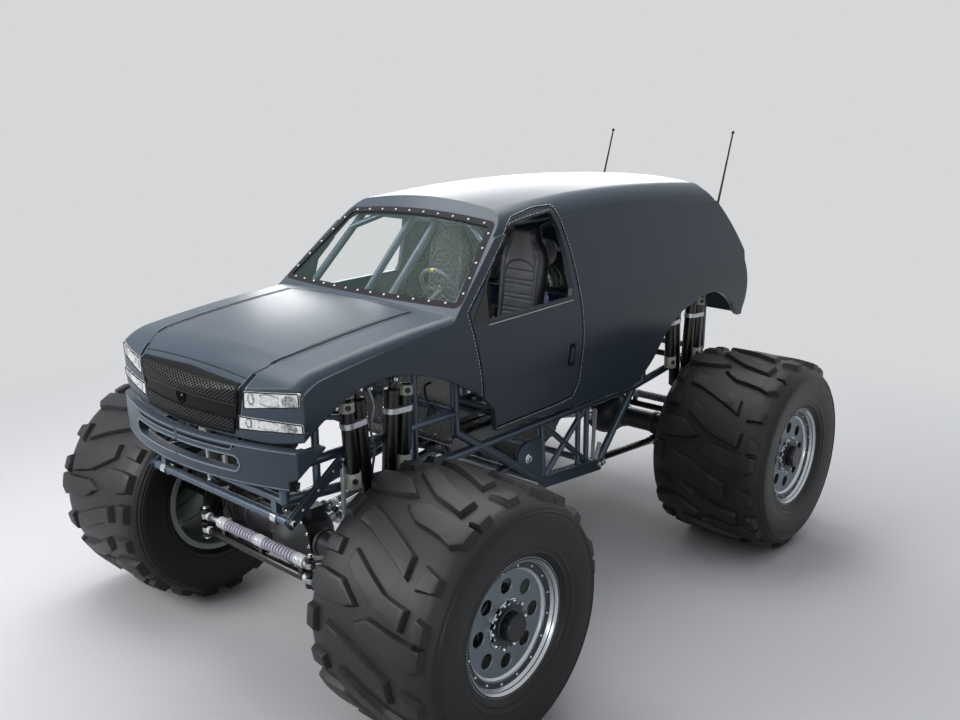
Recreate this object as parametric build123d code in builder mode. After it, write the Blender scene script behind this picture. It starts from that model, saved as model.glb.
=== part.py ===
"""Monster truck: a hollow body shell on a tube frame, two steered live axles, four terra tyres.

Millimetres. +X is forward, +Y is the driver's side, +Z is up. The origin is on the floor,
midway between the axles.
"""

from build123d import *
import os
from math import atan2, cos, degrees, pi, radians, sin, tan

os.makedirs("parts", exist_ok=True)

# ---------------------------------------------------------------- driving dimensions
WHEELBASE = 3776
TYRE_DIAMETER = 1676  # over the lugs' tips
TYRE_WIDTH = 1035
TYRE_CENTRE_Y = 1502
KINGPIN_Y = 930
AXLE_X = WHEELBASE / 2
AXLE_Z = TYRE_DIAMETER / 2

RUNNING_GAP = 6  # between pieces that move past each other
SEAT_GAP = 0.3  # between a piece and what carries it
PIN_GAP = 0.5  # round a pin in its eye

FRAME_Y = 700  # centre of each side frame
FRAME_TUBE = 64
BRACE_TUBE = 50
CAGE_TUBE = 57

BODY_WALL = 40
SHUT_GAP = 8
JAMB_THICK = 20
JAMB_GRIP = 25  # how far a jamb's flange overlaps the shell
JAMB_LAP = 30  # and how far it reaches under the moving panel


def rod(start, end, diameter):
    """A straight round bar from start to end, added to the part being built."""
    run = Vector(*end) - Vector(*start)
    with Locations(Plane(origin=start, z_dir=run)):
        Cylinder(diameter / 2, run.length, align=(Align.CENTER, Align.CENTER, Align.MIN))


def ball(centre, diameter):
    """A round knuckle where bars meet."""
    with Locations(centre):
        Sphere(diameter / 2)


def mirrored(point):
    """The same point on the other side of the truck."""
    return (point[0], -point[1], point[2])


def write(piece, name):
    """Label a finished piece and write its file."""
    piece.label = name
    export_step(piece, f"parts/{name}.step")


# ---------------------------------------------------------------- body form
# Half cross-section of the body side, from the sill up: (y, z)
SILL = (925, 1480)
CREASE = (968, 1885)
WIDEST = (985, 2130)
BELT = (955, 2400)
ROOF_SIDE = (759, 3200)
SIDE_TOP_Z = 3400

TAIL_X = -2840
NOSE_X = 2735
NOSE_CORNER = (2590, 985)
NOSE_EDGE = (2705, 540)

ROOF_PEAK = (-850, 3200)  # x and z of the roof's highest point
ROOF_ARC = 14500  # radius of the roof along the truck
ROOF_CROWN = 4200  # radius of the roof across it
ROOF_FLAT = 650  # half width of the roof inside its rolled edges
ROOF_CORNER = (810, 3000)  # y and z where the roof's edge meets the side

HOOD_REAR = (200, 2492)  # points of the hood's centreline, run on under the windshield: (x, z)
HOOD_MIDDLE = (1900, 2448)
HOOD_FRONT = (2440, 2378)
NOSE_TOP = (NOSE_X, 2190)
HOOD_CROWN = 9500
HOOD_FLAT = 885
HOOD_CORNER = (962, -95)  # y, and z below the hood's crown, where its edge meets the side

SCREEN_FOOT = (1332, 2493)  # foot of the windshield on the centreline: (x, z)
SCREEN_RAKE = 40.2  # degrees from level
SCREEN_BOW = 6700

REAR_SCREEN_TOP = (-2200, 3045)
TAIL_POINTS = ((-2530, 2734), (-2785, 2309), (-2840, 2077), (-2828, 1700))

SCREEN_UP = (-cos(radians(SCREEN_RAKE)), 0, sin(radians(SCREEN_RAKE)))
SCREEN_OUT = (sin(radians(SCREEN_RAKE)), 0, cos(radians(SCREEN_RAKE)))
SCREEN_FOOT_3D = (SCREEN_FOOT[0], 0, SCREEN_FOOT[1])


def in_screen(point, depth):
    """The windshield's foot point moved inwards by a depth along the glass's normal."""
    return tuple(p - depth * n for p, n in zip(point, SCREEN_OUT))


def cut_profile(plane, crown, half_width, corner, height):
    """A sketch of the space over a crowned panel whose edges roll down to a corner point."""
    drop = crown - (crown**2 - half_width**2) ** 0.5
    with BuildSketch(plane) as space:
        with BuildLine():
            top = ThreePointArc((-half_width, -drop), (0, 0), (half_width, -drop))
            right = TangentArc(top @ 1, corner, tangent=top % 1)
            left = TangentArc(top @ 0, (-corner[0], corner[1]), tangent=(top % 0) * -1)
            Polyline(right @ 1, (1300, corner[1]), (1300, height), (-1300, height),
                     (-1300, corner[1]), left @ 1)
        make_face()
    return space.sketch


def above_roof(inset):
    """Everything above the roof surface lowered by inset."""
    peak_x, peak_z = ROOF_PEAK[0], ROOF_PEAK[1] - inset
    plane = Plane(origin=(peak_x, 0, peak_z), x_dir=(0, 1, 0), z_dir=(1, 0, 0))
    hub = Axis((peak_x, 0, ROOF_PEAK[1] - ROOF_ARC), (0, 1, 0))
    corner = (ROOF_CORNER[0] - inset, ROOF_CORNER[1] - ROOF_PEAK[1] + inset)
    with BuildPart() as space:
        add(cut_profile(plane, ROOF_CROWN - inset, ROOF_FLAT, corner, 700))
        revolve(axis=hub, revolution_arc=18)
    return space.part.rotate(hub, -9)


def over_hood(inset):
    """Everything above the hood and ahead of the nose, drawn in by inset."""
    with BuildPart() as space:
        with BuildLine() as spine:
            hood = ThreePointArc((HOOD_REAR[0], 0, HOOD_REAR[1] - inset),
                                 (HOOD_MIDDLE[0], 0, HOOD_MIDDLE[1] - inset),
                                 (HOOD_FRONT[0] - inset / 8, 0, HOOD_FRONT[1] - inset))
            nose = TangentArc(hood @ 1, (NOSE_TOP[0] - inset, 0, NOSE_TOP[1]), tangent=hood % 1)
            Line(nose @ 1, nose @ 1 + (nose % 1) * 900)
        start = Plane(origin=hood @ 0, x_dir=(0, 1, 0), z_dir=hood % 0)
        corner = (HOOD_CORNER[0] - inset, HOOD_CORNER[1])
        add(cut_profile(start, HOOD_CROWN - inset, HOOD_FLAT - inset, corner, 1300))
        sweep(path=spine.line)
    return space.part


def ahead_of_screen(inset):
    """Everything ahead of the windshield surface, drawn in by inset."""
    foot = in_screen(SCREEN_FOOT_3D, inset)
    bow = SCREEN_BOW - inset
    drop = bow - (bow**2 - 1300**2) ** 0.5
    across = Plane(origin=foot, x_dir=(0, 1, 0), z_dir=SCREEN_UP)
    out = 1 if across.y_dir.dot(Vector(*SCREEN_OUT)) > 0 else -1
    with BuildPart() as space:
        with BuildSketch(across):
            with BuildLine():
                ThreePointArc((-1300, -out * drop), (0, 0), (1300, -out * drop))
                Polyline((1300, -out * drop), (1300, out * 2600), (-1300, out * 2600),
                         (-1300, -out * drop))
            make_face()
        extrude(amount=1600, both=True)
    return space.part


def body_form(inset):
    """The body's outer form as one solid, drawn in by inset on every side."""
    low = (SILL[0] - inset, 1000)
    with BuildPart() as form:
        with BuildSketch(Plane.YZ.offset(TAIL_X - 100)):
            with BuildLine() as side:
                Polyline(low, (SILL[0] - inset, SILL[1]), (CREASE[0] - inset, CREASE[1]))
                ThreePointArc((CREASE[0] - inset, CREASE[1]), (WIDEST[0] - inset, WIDEST[1]),
                              (BELT[0] - inset, BELT[1]))
                Polyline((BELT[0] - inset, BELT[1]), (ROOF_SIDE[0] - inset, ROOF_SIDE[1]),
                         (ROOF_SIDE[0] - inset, SIDE_TOP_Z), (0, SIDE_TOP_Z), (0, 1000), low)
            make_face()
            mirror(about=Plane.YZ)
        extrude(amount=NOSE_X - TAIL_X + 200)
        # plan outline, rounded at the nose and the tail
        with BuildSketch(Plane.XY.offset(900)):
            with BuildLine():
                corner_x, corner_y = NOSE_CORNER
                front = NOSE_X + 30
                ThreePointArc((front - inset, 0), (NOSE_EDGE[0] - inset, NOSE_EDGE[1]),
                              (corner_x - inset, corner_y - inset))
                Polyline((corner_x - inset, corner_y - inset), (corner_x - 60 - inset, corner_y + 40),
                         (TAIL_X, corner_y + 40), (TAIL_X + 130, corner_y - 20 - inset),
                         (TAIL_X + 40 + inset, 860 - inset))
                ThreePointArc((TAIL_X + 40 + inset, 860 - inset), (TAIL_X + 8 + inset, 450),
                              (TAIL_X + inset, 0))
                Line((TAIL_X + inset, 0), (front - inset, 0))
            make_face()
            mirror(about=Plane.XZ)
        extrude(amount=SIDE_TOP_Z, mode=Mode.INTERSECT)
        add(above_roof(inset), mode=Mode.SUBTRACT)
        # the nose and the windshield
        front_space = over_hood(inset).intersect(ahead_of_screen(inset))
        add(front_space, mode=Mode.SUBTRACT)
        # the tail
        with BuildSketch(Plane.XZ):
            with BuildLine():
                top = (REAR_SCREEN_TOP[0] + inset, REAR_SCREEN_TOP[1] - inset / 2)
                tail = [(x + inset, z) for x, z in TAIL_POINTS]
                upper = ThreePointArc(top, tail[0], tail[1])
                lower = ThreePointArc(tail[1], tail[2], tail[3])
                Polyline(tail[3], (tail[3][0], 900), (TAIL_X - 400, 900), (TAIL_X - 400, 3500),
                         (top[0], 3500), top)
            make_face()
        extrude(amount=1200, both=True, mode=Mode.SUBTRACT)
    return form.part


# ---------------------------------------------------------------- body openings
NOSE_SILL_Z = 1900
ARCH_FRONT_START = (2615, 1925)
ARCH_FRONT = (  # arcs of the front arch, from the nose to the sill: (through, end)
    ((2440, 2045), (2240, 2150)),
    ((2040, 2187), (1830, 2180)),
    ((1530, 2100), (1230, 1957)),
    ((1045, 1850), (905, 1722)),
)
SILL_FRONT = (868, 1556)  # under the door's front edge
SILL_REAR = (-860, 1482)
ARCH_REAR = (  # arcs of the rear arch, from the sill to the tail
    ((-1050, 1572), (-1210, 1718)),
    ((-1310, 1850), (-1420, 1960)),
    ((-1560, 2035), (-1720, 2075)),
    ((-1930, 2122), (-2130, 2126)),
    ((-2340, 2055), (-2500, 1942)),
    ((-2570, 1872), (-2640, 1824)),
)
TAIL_SILL_Z = 1822

DOOR_OUTLINE = ((1168, 2462), (878, 2712), (698, 2874), (590, 2980), (510, 3026), (251, 3068),
                (42, 3072), (0, 2943), (-50, 2764), (-78, 2560), (-90, 2203), (-98, 1965),
                (-94, 1726), (-33, 1603), (145, 1590), (1010, 1576), (1049, 1883), (1119, 2190),
                (1157, 2380))
DOOR_WINDOW = ((974, 2378), (941, 2606), (767, 2810), (654, 2906), (560, 2972), (362, 3001),
               (100, 3024), (40, 2878), (13, 2700), (5, 2453), (30, 2398))

DOOR_ROUND = 14

HOOD_HALF = 620  # half width of the hood panel
HOOD_BACK_X = 1400
HOOD_LIP_X = 2660

SCREEN_HALF_FOOT = 930  # half widths of the windshield's opening
SCREEN_HALF_TOP = 754
SCREEN_RISE = 758  # from its lower corners to its upper corners, along the glass
SCREEN_BORDER = 50
GLASS = 6

REAR_SCREEN_HALF = (700, 600)  # half widths of the rear window at its foot and its top
REAR_SCREEN_RUN = (90, 560)  # where it starts and ends, up the tail from its corner
REAR_RAKE = degrees(atan2(REAR_SCREEN_TOP[1] - TAIL_POINTS[1][1],
                          REAR_SCREEN_TOP[0] - TAIL_POINTS[1][0]))

LAMP_DEPTH = 24
LAMP_PROUD = 4
HEADLAMPS = (  # half outlines on the nose: (y, z) from the inner lower corner round
    ((562, 2085), (962, 2148), (958, 2236), (566, 2197)),
    ((512, 1952), (980, 1992), (976, 2052), (516, 2040)),
)
TAIL_LAMP = ((800, 1960), (930, 1960), (930, 2290), (800, 2290))
GRILLE = ((476, 1913), (538, 2228), (0, 2250), (0, 1905))


def under_body():
    """The space below the body's lower edge, with both wheel arches."""
    with BuildPart() as space:
        with BuildSketch(Plane.XZ):
            with BuildLine():
                Polyline((NOSE_X + 200, NOSE_SILL_Z), (2660, NOSE_SILL_Z), ARCH_FRONT_START)
                start = ARCH_FRONT_START
                for through, end in ARCH_FRONT:
                    ThreePointArc(start, through, end)
                    start = end
                Polyline(start, SILL_FRONT, SILL_REAR)
                start = SILL_REAR
                for through, end in ARCH_REAR:
                    ThreePointArc(start, through, end)
                    start = end
                Polyline(start, (TAIL_X - 200, TAIL_SILL_Z), (TAIL_X - 200, 800),
                         (NOSE_X + 200, 800), (NOSE_X + 200, NOSE_SILL_Z))
            make_face()
        extrude(amount=1300, both=True)
    return space.part


def side_zone(outline, margin, rounding):
    """A prism through the left side with the given outline, drawn in by margin."""
    with BuildPart() as zone:
        with BuildSketch(Plane.XZ.offset(-1200)) as face:
            with BuildLine():
                Polyline(*outline, close=True)
            make_face()
            fillet(face.vertices(), rounding)
            if margin:
                offset(amount=-margin, mode=Mode.REPLACE)
        extrude(amount=650)
    return zone.part


def hood_zone(margin):
    """A prism over the hood panel, drawn in by margin."""
    with BuildPart() as zone:
        with BuildSketch(Plane.XY.offset(2200)) as face:
            with BuildLine():
                Polyline((HOOD_BACK_X, -HOOD_HALF), (2560, -HOOD_HALF), (HOOD_LIP_X, -HOOD_HALF + 70),
                         (HOOD_LIP_X, HOOD_HALF - 70), (2560, HOOD_HALF), (HOOD_BACK_X, HOOD_HALF),
                         close=True)
            make_face()
            if margin:
                offset(amount=-margin, mode=Mode.REPLACE)
        extrude(amount=500)
    return zone.part


def screen_zone(margin):
    """A prism through the windshield's opening, drawn in by margin."""
    foot = Plane(origin=(SCREEN_FOOT[0] - 100, 0, SCREEN_FOOT[1]), x_dir=(0, 1, 0), z_dir=SCREEN_OUT)
    low, high = SCREEN_HALF_FOOT, SCREEN_HALF_TOP
    with BuildPart() as zone:
        with BuildSketch(foot) as face:
            with BuildLine():
                ThreePointArc((-low, 0), (0, -66), (low, 0))
                Line((low, 0), (high, SCREEN_RISE))
                ThreePointArc((high, SCREEN_RISE), (0, SCREEN_RISE + 22), (-high, SCREEN_RISE))
                Line((-high, SCREEN_RISE), (-low, 0))
            make_face()
            fillet(face.vertices(), 60)
            if margin:
                offset(amount=-margin, mode=Mode.REPLACE)
        extrude(amount=220, both=True)
    return zone.part


def rear_screen_zone(margin):
    """A prism through the rear window's opening, drawn in by margin."""
    corner = TAIL_POINTS[1]
    rake = radians(REAR_RAKE)
    plane = Plane(origin=(corner[0], 0, corner[1]), x_dir=(0, -1, 0), z_dir=(-sin(rake), 0, cos(rake)))
    low, high = REAR_SCREEN_HALF
    start, end = REAR_SCREEN_RUN
    with BuildPart() as zone:
        with BuildSketch(plane) as face:
            with BuildLine():
                Polyline((-low, start), (low, start), (high, end), (-high, end), close=True)
            make_face()
            fillet(face.vertices(), 60)
            if margin:
                offset(amount=-margin, mode=Mode.REPLACE)
        extrude(amount=220, both=True)
    return zone.part


def end_zone(outline, x, depth, margin, rounding, both_sides=True):
    """A prism along the truck with a (y, z) outline and its mirror image."""
    with BuildPart() as zone:
        with BuildSketch(Plane.YZ.offset(x)) as face:
            with BuildLine():
                Polyline(*outline, close=True)
            make_face()
            if not both_sides:
                mirror(about=Plane.YZ)
            if rounding:
                fillet(face.vertices(), rounding)
            if margin:
                offset(amount=-margin, mode=Mode.REPLACE)
            if both_sides:
                mirror(about=Plane.YZ)
        extrude(amount=depth)
    return zone.part


def skin(outside, inside, zone):
    """The part of a zone between two depths of the body's form."""
    with BuildPart() as piece:
        add(outside)
        add(inside, mode=Mode.SUBTRACT)
        add(zone, mode=Mode.INTERSECT)
    return piece.part


# ---------------------------------------------------------------- body panels
form_proud = body_form(-LAMP_PROUD)
form_outer = body_form(0)
form_glass_out = body_form(10)
form_glass_in = body_form(10 + GLASS)
form_lamp = body_form(LAMP_DEPTH)
form_border = body_form(30)
form_inner = body_form(BODY_WALL)

with BuildPart() as panels:
    add(form_outer)
    add(form_inner, mode=Mode.SUBTRACT)
    add(under_body(), mode=Mode.SUBTRACT)

grille_zone = end_zone(GRILLE, 2600, 250, 0, 0, both_sides=False)
headlamp_zones = [end_zone(outline, 2560, 260, 0, 14) for outline in HEADLAMPS]
tail_lamp_zone = end_zone(TAIL_LAMP, TAIL_X - 30, 250, 0, 14)
lamp_pocket = form_proud - form_lamp

# flanges inside the shut lines, under the edges of the hood and the doors
form_jamb = body_form(BODY_WALL + SEAT_GAP)
form_under_jamb = body_form(BODY_WALL + JAMB_THICK)


def jamb(shut, wide, narrow):
    """A flange round a shut line: shut is its prism, wide and narrow lie round and inside it."""
    return ((form_inner - form_under_jamb) & (wide - shut)) + (
        (form_jamb - form_under_jamb) & (shut - narrow))


door_jamb = jamb(side_zone(DOOR_OUTLINE, 0, DOOR_ROUND), side_zone(DOOR_OUTLINE, -JAMB_GRIP, DOOR_ROUND),
                 side_zone(DOOR_OUTLINE, JAMB_LAP, DOOR_ROUND))
door_jamb = door_jamb & Pos(0, 0, 2000) * Box(1300, 3000, 780)
hood_jamb = jamb(hood_zone(0), hood_zone(-JAMB_GRIP), hood_zone(JAMB_LAP))

with BuildPart() as body_shell:
    add(panels.part)
    left_door = side_zone(DOOR_OUTLINE, 0, DOOR_ROUND)
    add(left_door, mode=Mode.SUBTRACT)
    add(mirror(left_door, about=Plane.XZ, mode=Mode.PRIVATE), mode=Mode.SUBTRACT)
    add(hood_zone(0), mode=Mode.SUBTRACT)
    add(screen_zone(0), mode=Mode.SUBTRACT)
    add(rear_screen_zone(0), mode=Mode.SUBTRACT)
    add(grille_zone, mode=Mode.SUBTRACT)
    for zone in (*headlamp_zones, tail_lamp_zone):
        add(zone & lamp_pocket, mode=Mode.SUBTRACT)
    add(door_jamb)
    add(mirror(door_jamb, about=Plane.XZ, mode=Mode.PRIVATE))
    add(hood_jamb)
write(body_shell.part, "body_shell")

with BuildPart() as hood:
    add(panels.part)
    add(hood_zone(SHUT_GAP), mode=Mode.INTERSECT)
write(hood.part, "hood")

with BuildPart() as door_left:
    add(panels.part)
    add(side_zone(DOOR_OUTLINE, SHUT_GAP, DOOR_ROUND), mode=Mode.INTERSECT)
    add(side_zone(DOOR_WINDOW, 0, DOOR_ROUND), mode=Mode.SUBTRACT)
    add(screen_zone(-SHUT_GAP), mode=Mode.SUBTRACT)
write(door_left.part, "door_left")
write(mirror(door_left.part, about=Plane.XZ), "door_right")

with BuildPart() as screen_frames:
    add(skin(form_outer, form_border, screen_zone(SEAT_GAP) + rear_screen_zone(SEAT_GAP)))
    add(screen_zone(SCREEN_BORDER), mode=Mode.SUBTRACT)
    add(rear_screen_zone(SCREEN_BORDER), mode=Mode.SUBTRACT)
write(screen_frames.part, "screen_frames")

with BuildPart() as screen_glass:
    border = SCREEN_BORDER + SEAT_GAP
    add(skin(form_glass_out, form_glass_in, screen_zone(border) + rear_screen_zone(border)))
write(screen_glass.part, "screen_glass")

with BuildPart() as grille:
    add(skin(form_proud, form_lamp, end_zone(GRILLE, 2600, 250, SEAT_GAP, 0, both_sides=False)))
    with Locations((NOSE_X + 4, 0, 2075)):
        Cylinder(52, 60, rotation=(0, 90, 0))
write(grille.part, "grille")

with BuildPart() as headlamps:
    for outline in HEADLAMPS:
        add(skin(form_proud, body_form(LAMP_DEPTH - SEAT_GAP),
                 end_zone(outline, 2560, 260, SEAT_GAP, 14)))
write(headlamps.part, "headlamps")

with BuildPart() as tail_lamps:
    add(skin(form_proud, body_form(LAMP_DEPTH - SEAT_GAP),
             end_zone(TAIL_LAMP, TAIL_X - 30, 250, SEAT_GAP, 14)))
write(tail_lamps.part, "tail_lamps")

# ---------------------------------------------------------------- bumper
BUMPER_NOSE = 2830
BUMPER_CORNER = (2628, 950)
BUMPER_TIP = (2450, 985)
BUMPER_LOW_Z = 1640
BUMPER_TOP_Z = 1885
BUMPER_DEEP = 60
BUMPER_SLOT = (1716, 1800, 560)  # its bottom, its top and its half width

with BuildPart() as front_bumper:
    with BuildSketch(Plane.XY.offset(BUMPER_LOW_Z)) as band:
        with BuildLine():
            ThreePointArc((BUMPER_CORNER[0], BUMPER_CORNER[1]), (BUMPER_NOSE, 0),
                          (BUMPER_CORNER[0], -BUMPER_CORNER[1]))
            Polyline((BUMPER_CORNER[0], -BUMPER_CORNER[1]), (BUMPER_TIP[0], -BUMPER_TIP[1]),
                     (BUMPER_TIP[0], BUMPER_TIP[1]), BUMPER_CORNER)
        make_face()
        offset(amount=-BUMPER_DEEP, mode=Mode.SUBTRACT)
        with Locations((BUMPER_TIP[0] - 90, 0)):
            Rectangle(400, 2 * BUMPER_TIP[1] - 2 * BUMPER_DEEP, mode=Mode.SUBTRACT)
    extrude(amount=BUMPER_TOP_Z - BUMPER_LOW_Z)
    with BuildSketch(Plane.XZ):
        with BuildLine():
            Polyline((2650, BUMPER_LOW_Z - 10), (2650, BUMPER_LOW_Z + 60), (2440, BUMPER_TOP_Z - 5),
                     (2300, BUMPER_TOP_Z - 5), (2300, BUMPER_LOW_Z - 10), close=True)
        make_face()
    extrude(amount=1200, both=True, mode=Mode.SUBTRACT)
    low, high, half = BUMPER_SLOT
    with BuildSketch(Plane.YZ.offset(2500)):
        with Locations((0, (low + high) / 2)):
            SlotOverall(2 * half, high - low)
    extrude(amount=500, mode=Mode.SUBTRACT)
write(front_bumper.part, "front_bumper")

# ---------------------------------------------------------------- suspension places
SHOCK_Y = 800
SHOCK_SPREAD = 80  # of each shock's foot, either side of the axle
SHOCK_TOP_SPREAD = 150
SHOCK_BODY = 100
SHOCK_SHAFT = 40
SHOCK_SEAT_Z = 1085  # top of its bracket on the axle
SHOCK_BODY_Z = 1290
SHOCK_HEAD_Z = 2040
SHOCK_EYE = 28
SHOCK_PIN = 36
CAN_Y = 818
CAN_SHIFT = 108
CAN_SPAN = (1470, 2050)
STRAP_Z = 1900
LINK_AXLE_Y = 600
LINK_AXLE_Z = 700
LINK_BAR = 62
LINK_EYE = 36
LINK_EYE_WIDTH = 64
UPPER_LINK_Y = 140  # of their eyes on the axle's bracket
UPPER_FRAME_X = 100  # of their eyes under the floor rails
SWAY_Y = 757
SWAY_TUBE = 60
SWAY_PLATE = 6
SWAY_PLATE_Y = 11  # of each arm plate from the arm's middle
DROP_LINK = 28
SWAY_FRONT_X = 2555
SWAY_REAR_X = -2440
SWAY_Z = 1372
SWAY_END = (2140, 1665)  # x from the middle, and z, of the arms' ends

# ---------------------------------------------------------------- tube frame
RAIL_Z = 1365  # the long side rails under the doors
TOWER_Z = 2110  # the rails over the shocks
NOSE_RAIL_Z = 1690
NOSE_LOW_Z = 1495
REAR_LOW_Z = 1500
FRONT_TOWER_X = (1045, 1450, 2300)  # uprights under the front rail
REAR_TOWER_X = (-1400, -2440)
NOSE_FRAME_X = 2550
BELLY_FRONT = (20, 860)  # x and z of the belly channel's ends
BELLY_REAR = (-735, 790)
REAR_NODE = (-1260, RAIL_Z)
PLATE_BOLT = (230, 1112)
FRAME_JOINTS = (980, -1180)  # x where the front and the rear frame bolt to the belly frame
FRAME_ENDS = 3000  # x beyond each end of the frame
FRAME_ZONES = (  # (name, x of its rear end, x of its front end)
    ("front_frame", FRAME_JOINTS[0], FRAME_ENDS),
    ("belly_frame", FRAME_JOINTS[1], FRAME_JOINTS[0]),
    ("rear_frame", -FRAME_ENDS, FRAME_JOINTS[1]),
)
FLOOR_RAIL_Y = 200
SILL_MOUNT_X = (-300, -760)
SILL_MOUNT_Z = 1545
SILL_BALL = 40
SILL_SLOPE = (CREASE[0] - SILL[0]) / (CREASE[1] - SILL[1])

CHANNEL_HEIGHT = 100
CHANNEL_WIDTH = 60
PLATE_THICK = 14
LINK_FRAME_Y = FRAME_Y - FRAME_TUBE / 2 - LINK_BAR / 2 - RUNNING_GAP  # of the lower links' frame eyes
LINK_REAR_PIN = (BELLY_REAR[0] - (FRAME_TUBE - 6) / 2 - LINK_EYE - SEAT_GAP, BELLY_REAR[1])


def side(x, z, y=FRAME_Y):
    """A point on the left side frame."""
    return (x, y, z)


def bars(points, diameter):
    """Bars from each point to the next, with round corners."""
    for start, end in zip(points, points[1:]):
        rod(start, end, diameter)
    for corner in points:
        ball(corner, diameter)


def side_frame(grown=0):
    """The left side frame, each tube and plate of it thicker by grown."""
    front_x, mid_x, lead_x = FRONT_TOWER_X
    tower, brace = FRAME_TUBE + grown, BRACE_TUBE + grown
    bars([side(lead_x, TOWER_Z), side(front_x, TOWER_Z), side(front_x, 1540), side(*BELLY_FRONT),
          side(*BELLY_REAR), side(*REAR_NODE)], tower)
    bars([side(NOSE_FRAME_X, NOSE_LOW_Z), side(front_x + 60, RAIL_Z), side(REAR_NODE[0], RAIL_Z),
          side(REAR_TOWER_X[1], REAR_LOW_Z), side(REAR_TOWER_X[1], TOWER_Z), side(REAR_TOWER_X[0], TOWER_Z),
          side(REAR_TOWER_X[0], 1385)], tower)
    bars([side(NOSE_FRAME_X, NOSE_LOW_Z), side(NOSE_FRAME_X, NOSE_RAIL_Z), side(front_x, NOSE_RAIL_Z)],
         tower - 2)
    bars([side(lead_x, TOWER_Z), side(lead_x, NOSE_LOW_Z - 25)], brace)
    bars([side(mid_x, TOWER_Z), side(mid_x, 1410)], brace)
    # braces of the belly truss
    bars([side(*BELLY_FRONT), side(60, RAIL_Z), side(-600, 830)], brace)
    bars([side(10, 890), side(-560, RAIL_Z), side(-560, 830)], brace - 2)
    bars([side(-440, RAIL_Z), side(-440, 830)], brace - 4)
    # the belly channel
    run = Vector(BELLY_REAR[0] - BELLY_FRONT[0], 0, BELLY_REAR[1] - BELLY_FRONT[1])
    middle = ((BELLY_FRONT[0] + BELLY_REAR[0]) / 2, FRAME_Y, (BELLY_FRONT[1] + BELLY_REAR[1]) / 2)
    with Locations(Plane(origin=middle, x_dir=run, z_dir=(0, 1, 0))):
        Box(run.length + 40 + grown, CHANNEL_HEIGHT + grown, CHANNEL_WIDTH + grown)
    # the link plate
    with BuildSketch(Plane.XZ.offset(-FRAME_Y - PLATE_THICK - grown / 2)) as plate:
        with BuildLine():
            Polyline((15, 830), (190, 985))
            ThreePointArc((190, 985), (350, 1150), (200, 1245))
            Polyline((200, 1245), (20, 1235), (15, 830))
        make_face()
        with Locations(PLATE_BOLT):
            Circle(28)
    extrude(plate.sketch, amount=2 * PLATE_THICK + grown)


with BuildPart() as side_frames:
    side_frame()
    # outriggers to the sills
    for x in SILL_MOUNT_X:
        reach = SILL[0] - BODY_WALL + (SILL_MOUNT_Z - SILL[1]) * SILL_SLOPE - SILL_BALL / 2 - 2 * SEAT_GAP
        rod(side(x, RAIL_Z), side(x, SILL_MOUNT_Z, reach), 30)
        ball(side(x, SILL_MOUNT_Z, reach), SILL_BALL)
    # pins of the lower links and of the shocks' upper eyes
    link_face = LINK_FRAME_Y + LINK_EYE_WIDTH / 2 + SEAT_GAP
    for x, z in (PLATE_BOLT, LINK_REAR_PIN):
        rod(side(x, z), side(x, z, link_face), SHOCK_PIN)
    for x in (AXLE_X, -AXLE_X):
        for lean in (1, -1):
            pin_x = x + lean * SHOCK_TOP_SPREAD
            rod(side(pin_x, TOWER_Z), side(pin_x, TOWER_Z, SHOCK_Y + 34), SHOCK_PIN)
    mirror(about=Plane.XZ)

with BuildPart() as side_seats:
    side_frame(2 * SEAT_GAP)
    mirror(about=Plane.XZ)

with BuildPart() as cross_frame:
    front_x = FRONT_TOWER_X[0]
    for x, z in ((NOSE_FRAME_X, NOSE_LOW_Z), (NOSE_FRAME_X, NOSE_RAIL_Z), (front_x, NOSE_RAIL_Z),
                 (front_x, TOWER_Z), BELLY_FRONT, BELLY_REAR, (60, RAIL_Z), REAR_NODE,
                 (REAR_TOWER_X[1], REAR_LOW_Z), (REAR_TOWER_X[1], TOWER_Z), (REAR_TOWER_X[0], TOWER_Z)):
        rod(side(x, z), mirrored(side(x, z)), FRAME_TUBE - 6)
    for way in (1, -1):
        # floor rails and their braces
        y = way * FLOOR_RAIL_Y
        rod((front_x, y, NOSE_RAIL_Z), (700, y, RAIL_Z), BRACE_TUBE)
        rod((700, y, RAIL_Z), (REAR_NODE[0], y, RAIL_Z), BRACE_TUBE)
        ball((700, y, RAIL_Z), BRACE_TUBE)
        rod((700, y, RAIL_Z), (front_x + 60, way * FRAME_Y, RAIL_Z), BRACE_TUBE - 2)
        # horns of the bumper and hangers of the sway bars
        rod((NOSE_FRAME_X, way * 450, NOSE_RAIL_Z), (BUMPER_NOSE - 111, way * 450, NOSE_RAIL_Z), BRACE_TUBE)
        for x, low_z in ((SWAY_FRONT_X, NOSE_LOW_Z), (SWAY_REAR_X, REAR_LOW_Z)):
            with Locations((x, way * 620, SWAY_Z + SWAY_TUBE / 2 + SEAT_GAP)):
                Box(44, 50, low_z - SWAY_Z - SWAY_TUBE / 2, align=(Align.CENTER, Align.CENTER, Align.MIN))
    add(side_seats.part, mode=Mode.SUBTRACT)

for name, rear, front in FRAME_ZONES:
    with BuildPart() as zone:
        add(side_frames.part)
        add(cross_frame.part)
        with Locations(((rear + front) / 2, 0, RAIL_Z)):
            Box(front - rear - SEAT_GAP, WHEELBASE, WHEELBASE, mode=Mode.INTERSECT)
    write(zone.part, name)

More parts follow.
